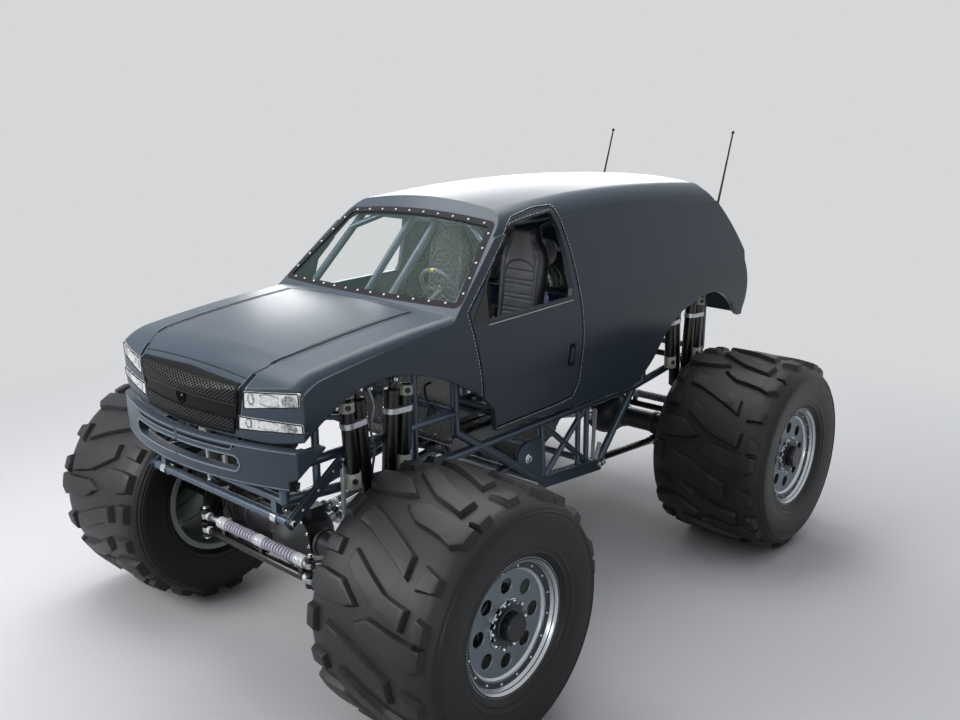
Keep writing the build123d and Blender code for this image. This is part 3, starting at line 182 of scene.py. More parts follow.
# Each: name, colour, metallic, roughness; then how much the colour varies and the noise's scale, how
# much the roughness varies, and the grain's relief and scale.
PAINT = material("satin_paint", (60, 72, 84), 0, 0.32, 0.04, 3, 0.03, 0.012, 420, specular=0.30, edge=0.014)
TUBE_PAINT = material("tube_paint", (88, 101, 116), 0.55, 0.33, 0.07, 9, 0.05, 0.03, 220)
GROOVE = material("groove_shade", (20, 25, 32), 0, 0.6, 0.1, 20, specular=0.08)
# light strips laid along edges, steps and lips: painted highlights
PAINTED_HIGHLIGHT_EDGE = material("painted_highlight_edge", (128, 142, 156), 0.3, 0.3, 0.15, 40)
SEAM_LIGHT = material("seam_highlight", (242, 244, 246), 0, 0.35, 0.1, 60)
BLACK = material("black_coat", (20, 21, 23), 0.1, 0.42, 0.25, 14, 0.1, 0.06, 260)
SATIN_BLACK = material("satin_black", (9, 10, 11), 0, 0.28, 0.2, 20, 0.06)
BORDER = material("screen_border", (44, 43, 47), 0, 0.6, 0.1, 30, 0, 0.05, 300, specular=0.08)
RUBBER = material("tyre_rubber", (33, 34, 36), 0, 0.5, 0.18, 7, 0.1, 0.22, 170, specular=0.4)
# a much darker copy of the tread's rubber for the tyre's sides: painted shade
SHADED_SIDEWALL = material("sidewall_painted_shade", (10, 10, 11), 0, 0.42, 0.2, 9, 0.08, 0.12, 240, specular=0.4)
ALLOY = material("wheel_alloy", (196, 201, 206), 0.95, 0.22, 0.05, 6, 0.05, 0.03, 320)
ALLOY_DISC = material("wheel_disc", (118, 128, 136), 0.85, 0.38, 0.08, 10, 0.06, 0.05, 300)
ALLOY_DARK = material("wheel_shade", (66, 74, 80), 0.8, 0.4, 0.1, 16, 0.08)
BARREL = material("wheel_barrel", (150, 158, 154), 0.6, 0.45, 0.08, 6, 0.08, 0.04, 120)
STEEL = material("bare_steel", (168, 171, 174), 0.9, 0.3, 0.12, 18, 0.1, 0.05, 300)
CHROME = material("bolt_chrome", (214, 217, 220), 1, 0.16, 0.05, 40, 0.05)
CLAMP = material("clamp_alloy", (196, 197, 206), 0.75, 0.3, 0.08, 30, 0.08, 0.06, 240)
WHITE_CAP = material("cream_cap", (206, 209, 198), 0.1, 0.4, 0.06, 14, 0.08, 0.04, 200)
WHITE = material("white_powder", (214, 217, 219), 0.05, 0.42, 0.05, 20, 0.06)
BOOT = material("boot_rubber", (186, 183, 200), 0, 0.5, 0.08, 30)
CAST = material("cast_iron", (70, 73, 74), 0.5, 0.55, 0.2, 16, 0.1, 0.3, 160)
CHARCOAL = material("charcoal_paint", (44, 47, 51), 0.3, 0.45, 0.15, 12, 0.1, 0.08, 200)
LEATHER = material("dark_leather", (66, 69, 74), 0, 0.36, 0.12, 24, 0.08, 0.22, 520)
STITCH = material("light_thread", (150, 156, 160), 0, 0.7, 0.15, 200)
CHANNEL = material("seam_channel", (20, 21, 23), 0, 0.6, 0.15, 60)
WHEEL_GRIP = material("wheel_grip", (98, 104, 106), 0, 0.5, 0.12, 40, 0, 0.12, 400)
YELLOW = material("yellow_mark", (196, 178, 60), 0, 0.5, 0.08, 60)
ENGINE_GREY = material("engine_shroud", (206, 208, 210), 0.3, 0.4, 0.06, 8, 0.06)
ENGINE_ALLOY = material("engine_alloy", (176, 190, 180), 0.6, 0.3, 0.2, 26, 0.1, 0.3, 90)
ENGINE_BLUE = material("engine_cover", (112, 118, 168), 0.3, 0.38, 0.15, 20, 0.08, 0.1, 160)
GRILLE_BLACK = material("grille_black", (15, 16, 17), 0, 0.45, 0.15, 20, specular=0.12)
# near-black, for the painted shade behind the grille's mesh and for the round disc at its middle
GRILLE_SHADE_AND_DISC = material("grille_painted_shade_and_disc", (3, 3, 3), 0, 0.7, 0.2, 30, specular=0.05)
MESH_WIRE = material("mesh_wire", (44, 47, 49), 0.3, 0.4, 0.15, 60)
TAIL_RED = material("tail_red", (150, 34, 34), 0, 0.2, 0.12, 40, coat=0.6)
LAMP_CLEAR = mottled("lamp_clear", (252, 253, 254), (214, 217, 221), 46, metallic=0)
LAMP_DARK = mottled("lamp_reflector", (196, 198, 202), (60, 62, 68), 60)
LAMP_BRIGHT = mottled("lamp_bulb", (252, 252, 252), (206, 208, 212), 30)
FLOOR_PLATE = tread_plate("tread_plate", (160, 162, 164), 0.3, 0.4, 26, 0.004)
# much lighter than the floor's plate: painted light on a board that sits in shade under the hood
TOE_PLATE_PAINTED_LIGHT = tread_plate("toe_plate_painted_light", (226, 228, 227), 0.1, 0.42, 22, 0.005)
GLASS = principled("screen_glass", {"Base Color": srgb(122, 150, 140), "Roughness": 0.04, "Alpha": 0.07})[0]


# ---------------------------------------------------------------- mesh helpers
def mesh_of(name, bm):
    """The mesh of a bmesh, which is freed."""
    me = bpy.data.meshes.new(name)
    bm.to_mesh(me)
    bm.free()
    return me


def finish_piece(name, me, mats, body="chassis", sharp=30, place=None):
    """Turn a mesh into a smoothly shaded object that rides on a body."""
    o = bpy.data.objects.new(name, me)
    bpy.context.scene.collection.objects.link(o)
    for m in mats:
        me.materials.append(m)
    if place is not None:
        me.transform(place)
        if place.determinant() < 0:
            me.flip_normals()
    for p in me.polygons:
        p.use_smooth = True
    me.set_sharp_from_angle(angle=radians(sharp))
    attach(o, body)
    return o


def from_bm(name, bm, mats, body="chassis", sharp=30):
    """Turn a bmesh into a riding object."""
    return finish_piece(name, mesh_of(name, bm), mats, body, sharp)


UP, DOWN, AHEAD = (0, 0, 1), (0, 0, -1), (1, 0, 0)


def across(y):
    """A shift to the truck's left."""
    return Vector((0, y, 0))


def turns(count, phase=0.0):
    """The angles of an even circle of things; phase is a share of one step."""
    return [2 * pi * (k + phase) / count for k in range(count)]


def pose_axis(at, axis):
    """The placement that puts a local +Z along an axis through a point."""
    turn = Vector(axis).normalized().to_track_quat("Z", "Y").to_matrix().to_4x4()
    return Matrix.Translation(Vector(at)) @ turn


def skin(bm, rings, index=0, closed=False, capped=False):
    """Skin a run of rings, some of them single points; index may hold a material for each step."""
    faces = []
    for i, (a, b) in enumerate(zip(rings, rings[1:] + rings[:closed])):
        n = max(len(a), len(b))
        for k in range(n):
            j = (k + 1) % n
            corners = [a[k % len(a)], a[j % len(a)], b[j % len(b)], b[k % len(b)]]
            corners = [v for m, v in enumerate(corners) if v not in corners[:m]]
            if len(corners) > 2:
                faces.append(bm.faces.new(corners))
                faces[-1].material_index = index[i] if isinstance(index, (list, tuple)) else index
    for ring in (rings[0], rings[-1]) if capped else ():
        faces.append(bm.faces.new(ring))
        faces[-1].material_index = index
    bmesh.ops.recalc_face_normals(bm, faces=faces)


def ring_into(bm, profile, steps, place=None, closed=False, index=0):
    """Turn a profile [(radius, along)] about +Z into a bmesh; a radius of 0 closes an end."""
    rings = []
    for r, z in profile:
        spots = [(0, 0, z)] if r < 1e-6 else [(r * cos(a), r * sin(a), z) for a in turns(steps)]
        rings.append([bm.verts.new(place @ Vector(p) if place else p) for p in spots])
    skin(bm, rings, index, closed)


def collar(inner, outer, half, flat):
    """The profile of a band round a bar: its ends at half, its flat part to either side of 0."""
    return [(inner, -half), (outer, -flat), (outer, flat), (inner, half)]


def tube_into(bm, points, radius, sides=12, index=0):
    """Sweep a round section along a run of points into a bmesh."""
    pts = [Vector(p) for p in points]
    last = len(pts) - 1
    rings, up = [], None
    for i, p in enumerate(pts):
        t = (pts[min(i + 1, last)] - pts[max(i - 1, 0)]).normalized()
        up = t.orthogonal() if up is None else (up - t * up.dot(t))
        up.normalize()
        side = t.cross(up)
        r = radius(i / last) if callable(radius) else radius
        rings.append([bm.verts.new(p + (up * cos(a) + side * sin(a)) * r) for a in turns(sides)])
    skin(bm, rings, index, capped=True)


def curve_points(corners, step=0.02):
    """A smooth run through a few points, by a Catmull-Rom spline."""
    pts = [Vector(p) for p in corners]
    pts = [pts[0] * 2 - pts[1], *pts, pts[-1] * 2 - pts[-2]]
    out = []
    for a, b, c, d in zip(pts, pts[1:], pts[2:], pts[3:]):
        n = max(2, math.ceil((c - b).length / step))
        for i in range(n):
            t = i / n
            out.append(0.5 * (2 * b + (c - a) * t + (2 * a - 5 * b + 4 * c - d) * t * t
                              + (3 * b - a - 3 * c + d) * t ** 3))
    out.append(pts[-2])
    return out


def copy_into(bm, source, place, index=0):
    """Copy a bmesh into another at a placement."""
    made = [bm.verts.new(place @ v.co) for v in source.verts]
    source.verts.index_update()
    flip = place.determinant() < 0
    for f in source.faces:
        ring = [made[v.index] for v in f.verts]
        bm.faces.new(reversed(ring) if flip else ring).material_index = index


def block_into(bm, size, place, soft=0.003, index=0):
    """A box with softened edges, its centre at the placement's origin."""
    own = bmesh.new()
    bmesh.ops.create_cube(own, size=1.0)
    for v in own.verts:
        v.co = Vector(c * s for c, s in zip(v.co, size))
    bmesh.ops.bevel(own, geom=list(own.edges), offset=min(soft, min(size) * 0.3), segments=2,
                    affect="EDGES", profile=0.6)
    copy_into(bm, own, place, index)
    own.free()


def box_into(bm, size, at, soft=0.003, index=0):
    """An upright block at a point."""
    block_into(bm, size, Matrix.Translation(at), soft, index)


def bolts_into(bm, spots, radius, height, index=0, washer=1.0):
    """Hexagon bolt heads over round washers at [(point, outward direction)]."""
    one = bmesh.new()
    ring_into(one, [(0, 0), (radius * 1.35 * washer, 0), (radius * 1.35 * washer, height * 0.22),
                    (radius * 1.2 * washer, height * 0.3), (0, height * 0.3)], 20)
    ring_into(one, [(radius, height * 0.28), (radius, height * 0.85), (radius * 0.82, height),
                    (0, height * 0.96)], 6)
    for at, axis in spots:
        copy_into(bm, one, pose_axis(at, axis), index)
    one.free()


# ---------------------------------------------------------------- laying thin pieces on the solids
def surface(name):
    """The surface of a CAD node, to cast rays at."""
    o = nodes[name]
    return BVHTree.FromPolygons([o.matrix_world @ v.co for v in o.data.vertices],
                                [list(p.vertices) for p in o.data.polygons])


def resample(points, step, closed=False):
    """Points at even steps along a polyline."""
    pts = [Vector(p) for p in points]
    if closed:
        pts.append(pts[0])
    out = []
    for a, b in zip(pts, pts[1:]):
        n = max(1, math.ceil((b - a).length / step))
        out += [a.lerp(b, i / n) for i in range(n)]
    return out if closed else out + [pts[-1]]


def drape(tree, points, ray, step=0.02, closed=False):
    """Where a path lands on a surface along a ray: [(point, normal)]."""
    way = Vector(ray).normalized()
    out = []
    for p in resample(points, step, closed):
        hit, normal, _, _ = tree.ray_cast(p, way, RAY_REACH)
        if hit is not None:
            out.append((hit, -normal if normal.dot(way) > 0 else normal))
    return out


def ribbon_into(bm, path, width, lift=0.0016, sink=0.002, index=0, closed=False, dash=None, jump=0.06):
    """A low strip along a draped path; dash is (on, off) along it, in metres."""
    count = len(path)
    rows, made, spans, run = [], {}, [], 0.0
    for i, (p, n) in enumerate(path):
        ahead = path[(i + 1) % count][0] if closed or i + 1 < count else p
        behind = path[i - 1][0] if closed or i else p
        side = (ahead - behind).cross(n).normalized() * (width / 2)
        rows.append([p - side - n * sink, p - side + n * lift, p + side + n * lift, p + side - n * sink])
    for i in range(count if closed else count - 1):
        j = (i + 1) % count
        gap = (path[j][0] - path[i][0]).length
        run += gap
        if gap <= jump and not (dash and run % sum(dash) > dash[0]):
            spans.append((i, j))
    for span in spans:
        for i in span:
            if i not in made:
                made[i] = [bm.verts.new(c) for c in rows[i]]
        a, b = (made[i] for i in span)
        for k in range(3):
            bm.faces.new((a[k], b[k], b[k + 1], a[k + 1])).material_index = index


def strip_into(bm, tree, points, ray, width, step=0.02, closed=False, **how):
    """A low strip along a path dropped onto a surface."""
    ribbon_into(bm, drape(tree, points, ray, step, closed), width, closed=closed, **how)


def patch_into(bm, tree, outline, ray, lift=0.0015, rings=6, index=0):
    """A thin patch with a given outline, draped onto a surface as rings towards its middle."""
    pts = [Vector(p) for p in outline]
    middle = sum(pts, Vector()) / len(pts)
    way = Vector(ray).normalized()
    grid = []
    for k in range(rings + 1):
        row = []
        for p in pts if k < rings else [middle]:
            # a ray that misses tries again nearer the middle
            share, hit = 1 - k / rings, None
            while hit is None and share > -0.01:
                hit, normal, _, _ = tree.ray_cast(middle.lerp(p, max(0, share)), way, RAY_REACH)
                share -= 0.04
            row.append(bm.verts.new((hit or middle) - way * lift))
        grid.append(row)
    skin(bm, grid, index)


# ---------------------------------------------------------------- tyres
LUG_HEIGHT = 0.036
LUG_ROOT = -0.012  # how deep a lug starts inside the carcass
LUG_DRAFT = 0.016
LUG_MESH = 0.045  # a lug is cut this fine, so that it can bend round the tyre
REPEATS = 7
TREAD_RADIUS = 0.742  # the sidewall's darker rubber, painted shade, starts inside this radius
CARCASS = ((0.00, 0.802), (0.45, 0.800), (0.70, 0.792), (0.84, 0.777), (0.93, 0.752), (0.985, 0.715),
           (1.00, 0.670), (0.997, 0.620), (0.985, 0.560), (0.965, 0.505), (0.935, 0.462),
           (0.905, 0.440), (0.878, 0.428))
SIDEWALL_RIBS = ((0.735, 0.010, 0.006), (0.712, 0.006, 0.005), (0.690, 0.005, 0.004),
                 (0.500, 0.007, 0.004), (0.462, 0.010, 0.005))  # radius, width, height
# Lugs of one repeat: (share of the half width, degrees round the tyre); share of the full height
LUGS = (
    (((-0.143, 64.6), (0.09, 69.3), (0.40, 68.0), (0.80, 66.2), (0.90, 66.2), (0.90, 57.0), (0.74, 53.6),
      (0.535, 56.0), (0.135, 58.2), (0.0, 61.0)), 1.0),
    (((-0.07, 71.0), (-0.40, 79.6), (-0.70, 80.4), (-0.90, 80.0), (-0.90, 69.5), (-0.67, 66.9),
      (-0.27, 68.2)), 1.0),
    (((-0.55, 60.6), (-0.58, 50.6), (-0.33, 48.4), (0.05, 42.5), (0.465, 35.4), (0.435, 46.4),
      (0.10, 52.2), (-0.27, 57.6)), 1.0),
    (((-0.39, 41.5), (-0.43, 32.6), (-0.18, 27.0), (0.07, 21.8), (0.59, 16.8), (0.62, 27.0),
      (0.25, 29.0), (-0.11, 36.0)), 1.0),
    (((0.59, 45.8), (0.82, 42.6), (0.88, 42.4), (0.88, 35.0), (0.82, 35.0), (0.58, 33.4)), 0.8),
    (((0.745, 26.0), (0.90, 23.8), (0.91, 15.6), (0.725, 14.8), (0.68, 21.2)), 0.9),
    (((-0.91, 63.6), (-0.72, 63.2), (-0.71, 51.6), (-0.91, 52.6)), 0.9),
    (((-0.88, 43.4), (-0.60, 43.0), (-0.58, 35.0), (-0.88, 34.6)), 0.8),
)


def carcass_radius(share):
    """Radius of the carcass under the tread at a share of the half width."""
    s = abs(share)
    for (a, ra), (b, rb) in zip(CARCASS, CARCASS[1:]):
        if s <= b:
            return ra + (rb - ra) * (s - a) / (b - a)


def cut(points, parts):
    """A profile with every run cut into parts(lower radius) steps."""
    out = []
    for (ra, za), (rb, zb) in zip(points, points[1:]):
        n = parts(min(ra, rb))
        out += [(ra + (rb - ra) * (i / n), za + (zb - za) * (i / n)) for i in range(n)]
    return out + [points[-1]]


def rib(r):
    """How far the sidewall's ribs stand out at a radius."""
    return max(high * max(0.0, 1 - abs(r - centre) / width) for centre, width, high in SIDEWALL_RIBS)


def carcass_bm():
    """The carcass, its sidewall ribs and its beads, turned about +Z."""
    coarse = cut([(radius, share * TYRE_HALF) for share, radius in CARCASS], lambda r: 3)
    half = [(r, z + rib(r)) for r, z in cut(coarse, lambda r: 5 if 0.45 < r < 0.75 else 1)]
    bm = bmesh.new()
    ring_into(bm, [(r, -z) for r, z in reversed(half[1:])] + half, 112)
    for f in bm.faces:
        # faces inside the tread's radius take the sidewall's darker rubber: painted shade
        f.material_index = 0 if f.calc_center_median().xy.length > TREAD_RADIUS else 1
    return bm


def moved_edges(outline, by, corner):
    """A closed outline with its edges moved outwards; corner is the least that a sharp corner counts."""
    pts = [Vector(p) for p in outline]
    area = sum(a.x * b.y - b.x * a.y for a, b in zip(pts, pts[1:] + pts[:1]))
    out = []
    for i, q in enumerate(pts):
        d1, d2 = (q - pts[i - 1]).normalized(), (pts[(i + 1) % len(pts)] - q).normalized()
        n1, n2 = Vector((d1.y, -d1.x)), Vector((d2.y, -d2.x))
        out.append(q + (n1 + n2) / max(corner, 1 + n1.dot(n2)) * (by if area > 0 else -by))
    return out


def lug_bm(outline, rise):
    """One lug about +Z: a softened prism with drawn-in sides, bent round the carcass."""
    top = LUG_HEIGHT * rise
    mid = sum(a for share, a in outline) / len(outline)
    flat = [(radians(a - mid) * LUG_RADIUS, share * TYRE_HALF) for share, a in outline]
    inset = moved_edges(flat, -LUG_DRAFT, 0.35)
    if sum(p[0] * q[1] - q[0] * p[1] for p, q in zip(flat, flat[1:] + flat[:1])) < 0:
        flat, inset = flat[::-1], inset[::-1]
    bm = bmesh.new()
    foot = [bm.verts.new((*p, LUG_ROOT)) for p in flat]
    head = [bm.verts.new((*p, top)) for p in inset]
    roof = bm.faces.new(head)
    for i in range(len(flat)):
        j = (i + 1) % len(flat)
        bm.faces.new((foot[i], foot[j], head[j], head[i]))
    bmesh.ops.bevel(bm, geom=list(roof.edges), offset=0.006, segments=2, affect="EDGES", profile=0.6)
    for axis, normal in enumerate((Vector((1, 0, 0)), Vector((0, 1, 0)))):
        span = [v.co[axis] for v in bm.verts]
        at = math.ceil(min(span) / LUG_MESH) * LUG_MESH
        while at < max(span):
            bmesh.ops.bisect_plane(bm, geom=list(bm.verts) + list(bm.edges) + list(bm.faces),
                                   plane_co=normal * at, plane_no=normal)
            at += LUG_MESH
    for v in bm.verts:
        along, y, h = v.co
        share = abs(y / TYRE_HALF)
        base = carcass_radius(share)
        # the lugs' tops lie on one gentle crown, so they stand taller at the shoulders
        crown = LUG_RADIUS - 0.0045 * share - 0.020 * max(0.0, share - 0.55) ** 1.5 * 4
        if rise < 1:
            crown -= 0.006 * (1 - rise) * 5
        r = base + h if h < 0 else base + (crown - base) * (h / top)
        a = along / LUG_RADIUS + radians(mid)
        v.co = (r * cos(a), r * sin(a), y)
    return bm


def tyre_mesh():
    """The whole tyre about +Z: the carcass and the lugs of every repeat."""
    bm = carcass_bm()
    for outline, rise in LUGS:
        one = lug_bm(outline, rise)
        for turn in turns(REPEATS):
            copy_into(bm, one, Matrix.Rotation(turn, 4, "Z"))
        one.free()
    return mesh_of("tyre", bm)


# ---------------------------------------------------------------- wheels
WHEEL_RING = (  # closed section of the barrel and its lips: (radius, along, material of the face after it)
    (0.4300, 0.4450, 2), (0.4305, 0.4560, 2), (0.4270, 0.4592, 2), (0.4130, 0.4598, 0), (0.4080, 0.4560, 0),
    (0.3860, 0.4240, 0), (0.3835, 0.4190, 2), (0.3790, 0.4140, 2), (0.3530, 0.4125, 2), (0.3490, 0.4090, 0),
    (0.3460, 0.3985, 0), (0.3435, 0.3950, 0), (0.3300, 0.3880, 1), (0.3300, 0.3680, 3), (0.3740, 0.3680, 3),
    (0.3810, 0.3600, 3), (0.3810, -0.4480, 3), (0.3850, -0.4560, 3), (0.3910, -0.4595, 3),
    (0.4270, -0.4592, 3), (0.4305, -0.4560, 3), (0.4300, -0.4450, 3), (0.3950, -0.4440, 3),
    (0.3950, 0.4440, 3),
)
DISC_FACES = (0.3680, 0.3880)
DISC_SPAN = (0.148, 0.332)
HOLES = (0.245, 0.047, 8)  # pitch radius, radius, count
HOLE_BEVEL = 0.004
KNURLS = 132


def disc_into(bm):
    """The wheel's disc between its two faces, with bevelled round holes through it."""
    pitch, hole, count = HOLES
    low, high = DISC_SPAN
    half_sector = pi / count
    # distance from a hole's centre to its sector's edge, in each direction and to its four corners
    corners = [Vector((r * cos(a), r * sin(a))) - Vector((pitch, 0)) for r in (low, high)
               for a in (half_sector, -half_sector)]
    spokes = []
    for a in sorted(turns(32) + [math.atan2(c.y, c.x) % (2 * pi) for c in corners]):
        d = Vector((cos(a), sin(a)))
        reach = 0.02
        while reach < 0.3:
            p = Vector((pitch, 0)) + d * reach
            if not low < p.length < high or abs(math.atan2(p.y, p.x)) > half_sector:
                break
            reach += 0.0005
        spokes.append((d, reach))
    back, front = DISC_FACES
    levels = [(None, front), (hole + HOLE_BEVEL, front), (hole, front - HOLE_BEVEL),
              (hole, back + HOLE_BEVEL), (hole + HOLE_BEVEL, back), (None, back)]
    for sector in turns(count):
        turn = Matrix.Rotation(sector, 4, "Z")
        skin(bm, [[bm.verts.new(turn @ Vector((pitch + d.x * (r or reach), d.y * (r or reach), z)))
                   for d, reach in spokes] for r, z in levels], 1)


def star_into(bm, inner, outer, teeth, low, high):
    """A toothed plate: its rim steps in and out, with bevelled edges and a darker top."""
    shape = ((0.00, outer), (0.22, outer), (0.30, outer * 0.985), (0.36, inner), (0.50, inner * 0.97),
             (0.64, inner), (0.70, outer * 0.985), (0.78, outer), (0.90, outer * 1.004))
    outline = [(a + 2 * pi * share / teeth, r) for a in turns(teeth) for share, r in shape]
    skin(bm, [[bm.verts.new((r * shrink * cos(a), r * shrink * sin(a), z)) for a, r in outline]
              for shrink, z in ((1.0, low), (1.0, high - 0.003), (0.975, high), (0.5, high))], [0, 0, 1])


def rib_rings(bm, levels, root, crest, half, steps):
    """Low ribs round a bore or a drum."""
    for z in levels:
        ring_into(bm, [(r, z + dz) for r, dz in collar(root, crest, half, half / 2)], steps, index=3)


def bolt_circle(bm, radius, z, count, size, height, way=UP, phase=0.0):
    """Bolts in a circle about +Z."""
    bolts_into(bm, [((radius * cos(a), radius * sin(a), z), way) for a in turns(count, phase)], size, height)


def wheel_mesh():
    """The whole wheel about +Z, its outside towards +Z."""
    bm = bmesh.new()
    ring_into(bm, [(r, z) for r, z, mat in WHEEL_RING], 112, closed=True,
              index=[mat for r, z, mat in WHEEL_RING])
    disc_into(bm)
    # knurled bead seat round the lip, ribs round the barrel's inside
    for a in turns(KNURLS):
        block_into(bm, (0.005, 0.009, 0.004),
                   Matrix.Rotation(a, 4, "Z") @ Matrix.Translation((0.4265, 0, 0.4590)), 0.001)
    rib_rings(bm, (-0.30, -0.12, 0.10), 0.3812, 0.3750, 0.012, 96)
    bolt_circle(bm, 0.3665, 0.4120, 16, 0.0065, 0.008, phase=0.5)
    return mesh_of("wheel", bm)


def hub_mesh():
    """The toothed drive plate, its bolts, the black hub that stands out of it and the drum's casing."""
    bm = bmesh.new()
    star_into(bm, 0.136, 0.162, 10, 0.386, 0.408)
    bolt_circle(bm, 0.149, 0.408, 10, 0.0085, 0.011)
    ring_into(bm, [(0.104, 0.4075), (0.104, 0.4130), (0.098, 0.4160), (0.088, 0.4160)], 64, index=1)
    ring_into(bm, [(0.090, 0.4060), (0.090, 0.4560), (0.086, 0.4690), (0.080, 0.4760), (0.076, 0.4770),
                   (0.072, 0.4750), (0.040, 0.4760), (0, 0.4765)], 64, index=2)
    ring_into(bm, [(0.150, 0.335), (0.150, 0.366), (0.120, 0.372), (0.060, 0.372)], 48, index=1)
    bolt_circle(bm, 0.128, 0.336, 12, 0.010, 0.012, DOWN)
    # the brake drum's ribbed casing, inboard of the disc
    ring_into(bm, [(0.070, 0.250), (0.205, 0.250), (0.214, 0.258), (0.214, 0.345), (0.205, 0.352),
                   (0.150, 0.352)], 64, index=3)
    rib_rings(bm, (0.272, 0.296, 0.320), 0.213, 0.220, 0.006, 64)
    return mesh_of("hub", bm)


tyre_master, wheel_master, hub_master = tyre_mesh(), wheel_mesh(), hub_mesh()
WHEEL_SPOTS = [  # local +Z points out of the truck, and local +Y up
    (place, hand, Matrix.Translation((x, way * TYRE_Y, AXLE_Z))
     @ Matrix(((1, 0, 0, 0), (0, 0, way, 0), (0, 1, 0, 0), (0, 0, 0, 1)))) for place, hand, x, way in CORNERS]
for place, hand, spot in WHEEL_SPOTS:
    t = finish_piece(f"tyre_detail_{place}_{hand}", tyre_master.copy(), [RUBBER, SHADED_SIDEWALL],
                     f"wheel_{place}_{hand}", 40, spot)
    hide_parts(f"tyre_{place}_{hand}")
for place, hand, spot in WHEEL_SPOTS:
    body = f"wheel_{place}_{hand}"
    w = finish_piece(f"wheel_detail_{place}_{hand}", wheel_master.copy(),
                     [ALLOY, ALLOY_DISC, ALLOY_DARK, BARREL], body, 25, spot)
    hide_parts(f"rim_{place}_{hand}")
    finish_piece(f"hub_detail_{place}_{hand}", hub_master.copy(),
                 [CHROME, ALLOY_DARK, SATIN_BLACK, CHARCOAL], body, 25, spot)


# ---------------------------------------------------------------- shocks
TOWER_Z = 2.110
SHOCK_FOOT_Z = 1.1133
SHOCK_SPREAD = (0.080, 0.150)  # foot and top, either side of the axle
CAN_SHIFT = 0.108
CAN_Y = 0.818
SHOCK_R = 0.050
CAN_R = 0.047
BAND = (1.900, 0.042, 0.006)  # height of the band's middle, its width and thickness
CAN_CAPS = ((1.478, 1.585), (1.985, 2.052))
VALVE = ((0, 0), (0.019, 0), (0.019, 0.005), (0.016, 0.007), (0.009, 0.007), (0.008, 0.004), (0, 0.004))
WIPER = ((0.021, -0.016), (0.036, -0.014), (0.044, -0.004), (0.0515, 0.000), (0.0515, 0.022), (0.0502, 0.024))
ROD_SLEEVE = ((0.0205, -0.175), (0.0212, -0.172), (0.0212, -0.012), (0.0205, -0.010))
HEAD = ((0.0502, 0), (0.0520, 0.003), (0.0520, 0.034), (0.044, 0.042), (0.024, 0.046))
BRAID = ((0.018, 0.760, 2.075), (-0.012, 0.772, 1.95), (0.014, 0.765, 1.80), (-0.010, 0.770, 1.66),
         (0.012, 0.764, 1.50), (-0.004, 0.768, 1.32), (0, 0.765, 1.112))  # from the axle's x; y; z


def shock_point(x, way, lean, z, can=False):
    """A point on a shock's axis, or on its reservoir's, at a height."""
    t = (z - SHOCK_FOOT_Z) / (TOWER_Z - SHOCK_FOOT_Z)
    px = x + lean * (SHOCK_SPREAD[0] + (SHOCK_SPREAD[1] - SHOCK_SPREAD[0]) * t)
    return Vector((px + (lean * CAN_SHIFT if can else 0), way * (CAN_Y if can else SHOCK_Y), z))


def band_into(bm, a, b, axis, height, thick):
    """A band round a shock at a and its reservoir at b, like a flat oval."""
    z = axis.normalized()
    x = (b - a - z * (b - a).dot(z)).normalized()
    y = z.cross(x)
    outline = [(centre, cos(radians(start + 180 * k / 14)), sin(radians(start + 180 * k / 14)), r)
               for centre, r, start in ((b, CAN_R, -90), (a, SHOCK_R, 90)) for k in range(15)]
    levels = ((0, -height / 2), (thick, -height / 2 + 0.003), (thick, height / 2 - 0.003), (0, height / 2))
    skin(bm, [[bm.verts.new(c + (x * ca + y * sa) * (r + grow + 0.001) + z * level)
               for c, ca, sa, r in outline] for grow, level in levels], capped=True)


for place, hand, x, way in CORNERS:
    bm = bmesh.new()
    for lean in (1, -1):
        axis = shock_point(x, way, lean, 2.0) - shock_point(x, way, lean, 1.0)
        level, wide, thick = BAND
        band_into(bm, shock_point(x, way, lean, level), shock_point(x, way, lean, level, True), axis,
                  wide, thick)
        # caps of the reservoir, each with a dark valve on its outer side
        for low, high in CAN_CAPS:
            tall = high - low
            ring_into(bm, [(0.030, -0.001), (CAN_R + 0.0035, 0.002), (CAN_R + 0.0045, 0.006),
                           (CAN_R + 0.0045, tall - 0.010), (CAN_R + 0.0030, tall - 0.006),
                           (CAN_R + 0.0030, tall), (0.030, tall + 0.001)], 40,
                      pose_axis(shock_point(x, way, lean, low, True), axis), index=1)
            out = Vector((0.55, way, 0.1)).normalized()
            at = shock_point(x, way, lean, (low + high) / 2, True) + out * (CAN_R + 0.003)
            ring_into(bm, VALVE, 20, pose_axis(at, out), index=2)
        # body: wiper and rod at its foot, head at its top
        foot = pose_axis(shock_point(x, way, lean, 1.290), axis)
        ring_into(bm, WIPER, 36, foot, index=3)
        ring_into(bm, ROD_SLEEVE, 28, foot)
        ring_into(bm, HEAD, 36, pose_axis(shock_point(x, way, lean, 2.000), axis), index=3)
        for z, out in ((SHOCK_FOOT_Z, 0.027), (TOWER_Z, 0.035)):
            at = shock_point(x, way, lean, z) + across(way * out)
            bolts_into(bm, [(at, (0, way, 0))], 0.013, 0.012, index=4)
    # braided line between the pair, and its clips
    tube_into(bm, curve_points([(x + dx, way * y, z) for dx, y, z in BRAID]), 0.0085, 8, index=5)
    for z in (2.06, 1.72, 1.42, 1.14):
        ring_into(bm, [(0.0085, 0), (0.0130, 0.002), (0.0130, 0.018), (0.0085, 0.020)], 12,
                  pose_axis((x, way * 0.767, z), UP), index=4)
    from_bm(f"shock_trim_{place}_{hand}", bm, [CLAMP, WHITE_CAP, CHARCOAL, SATIN_BLACK, CHROME, STEEL])

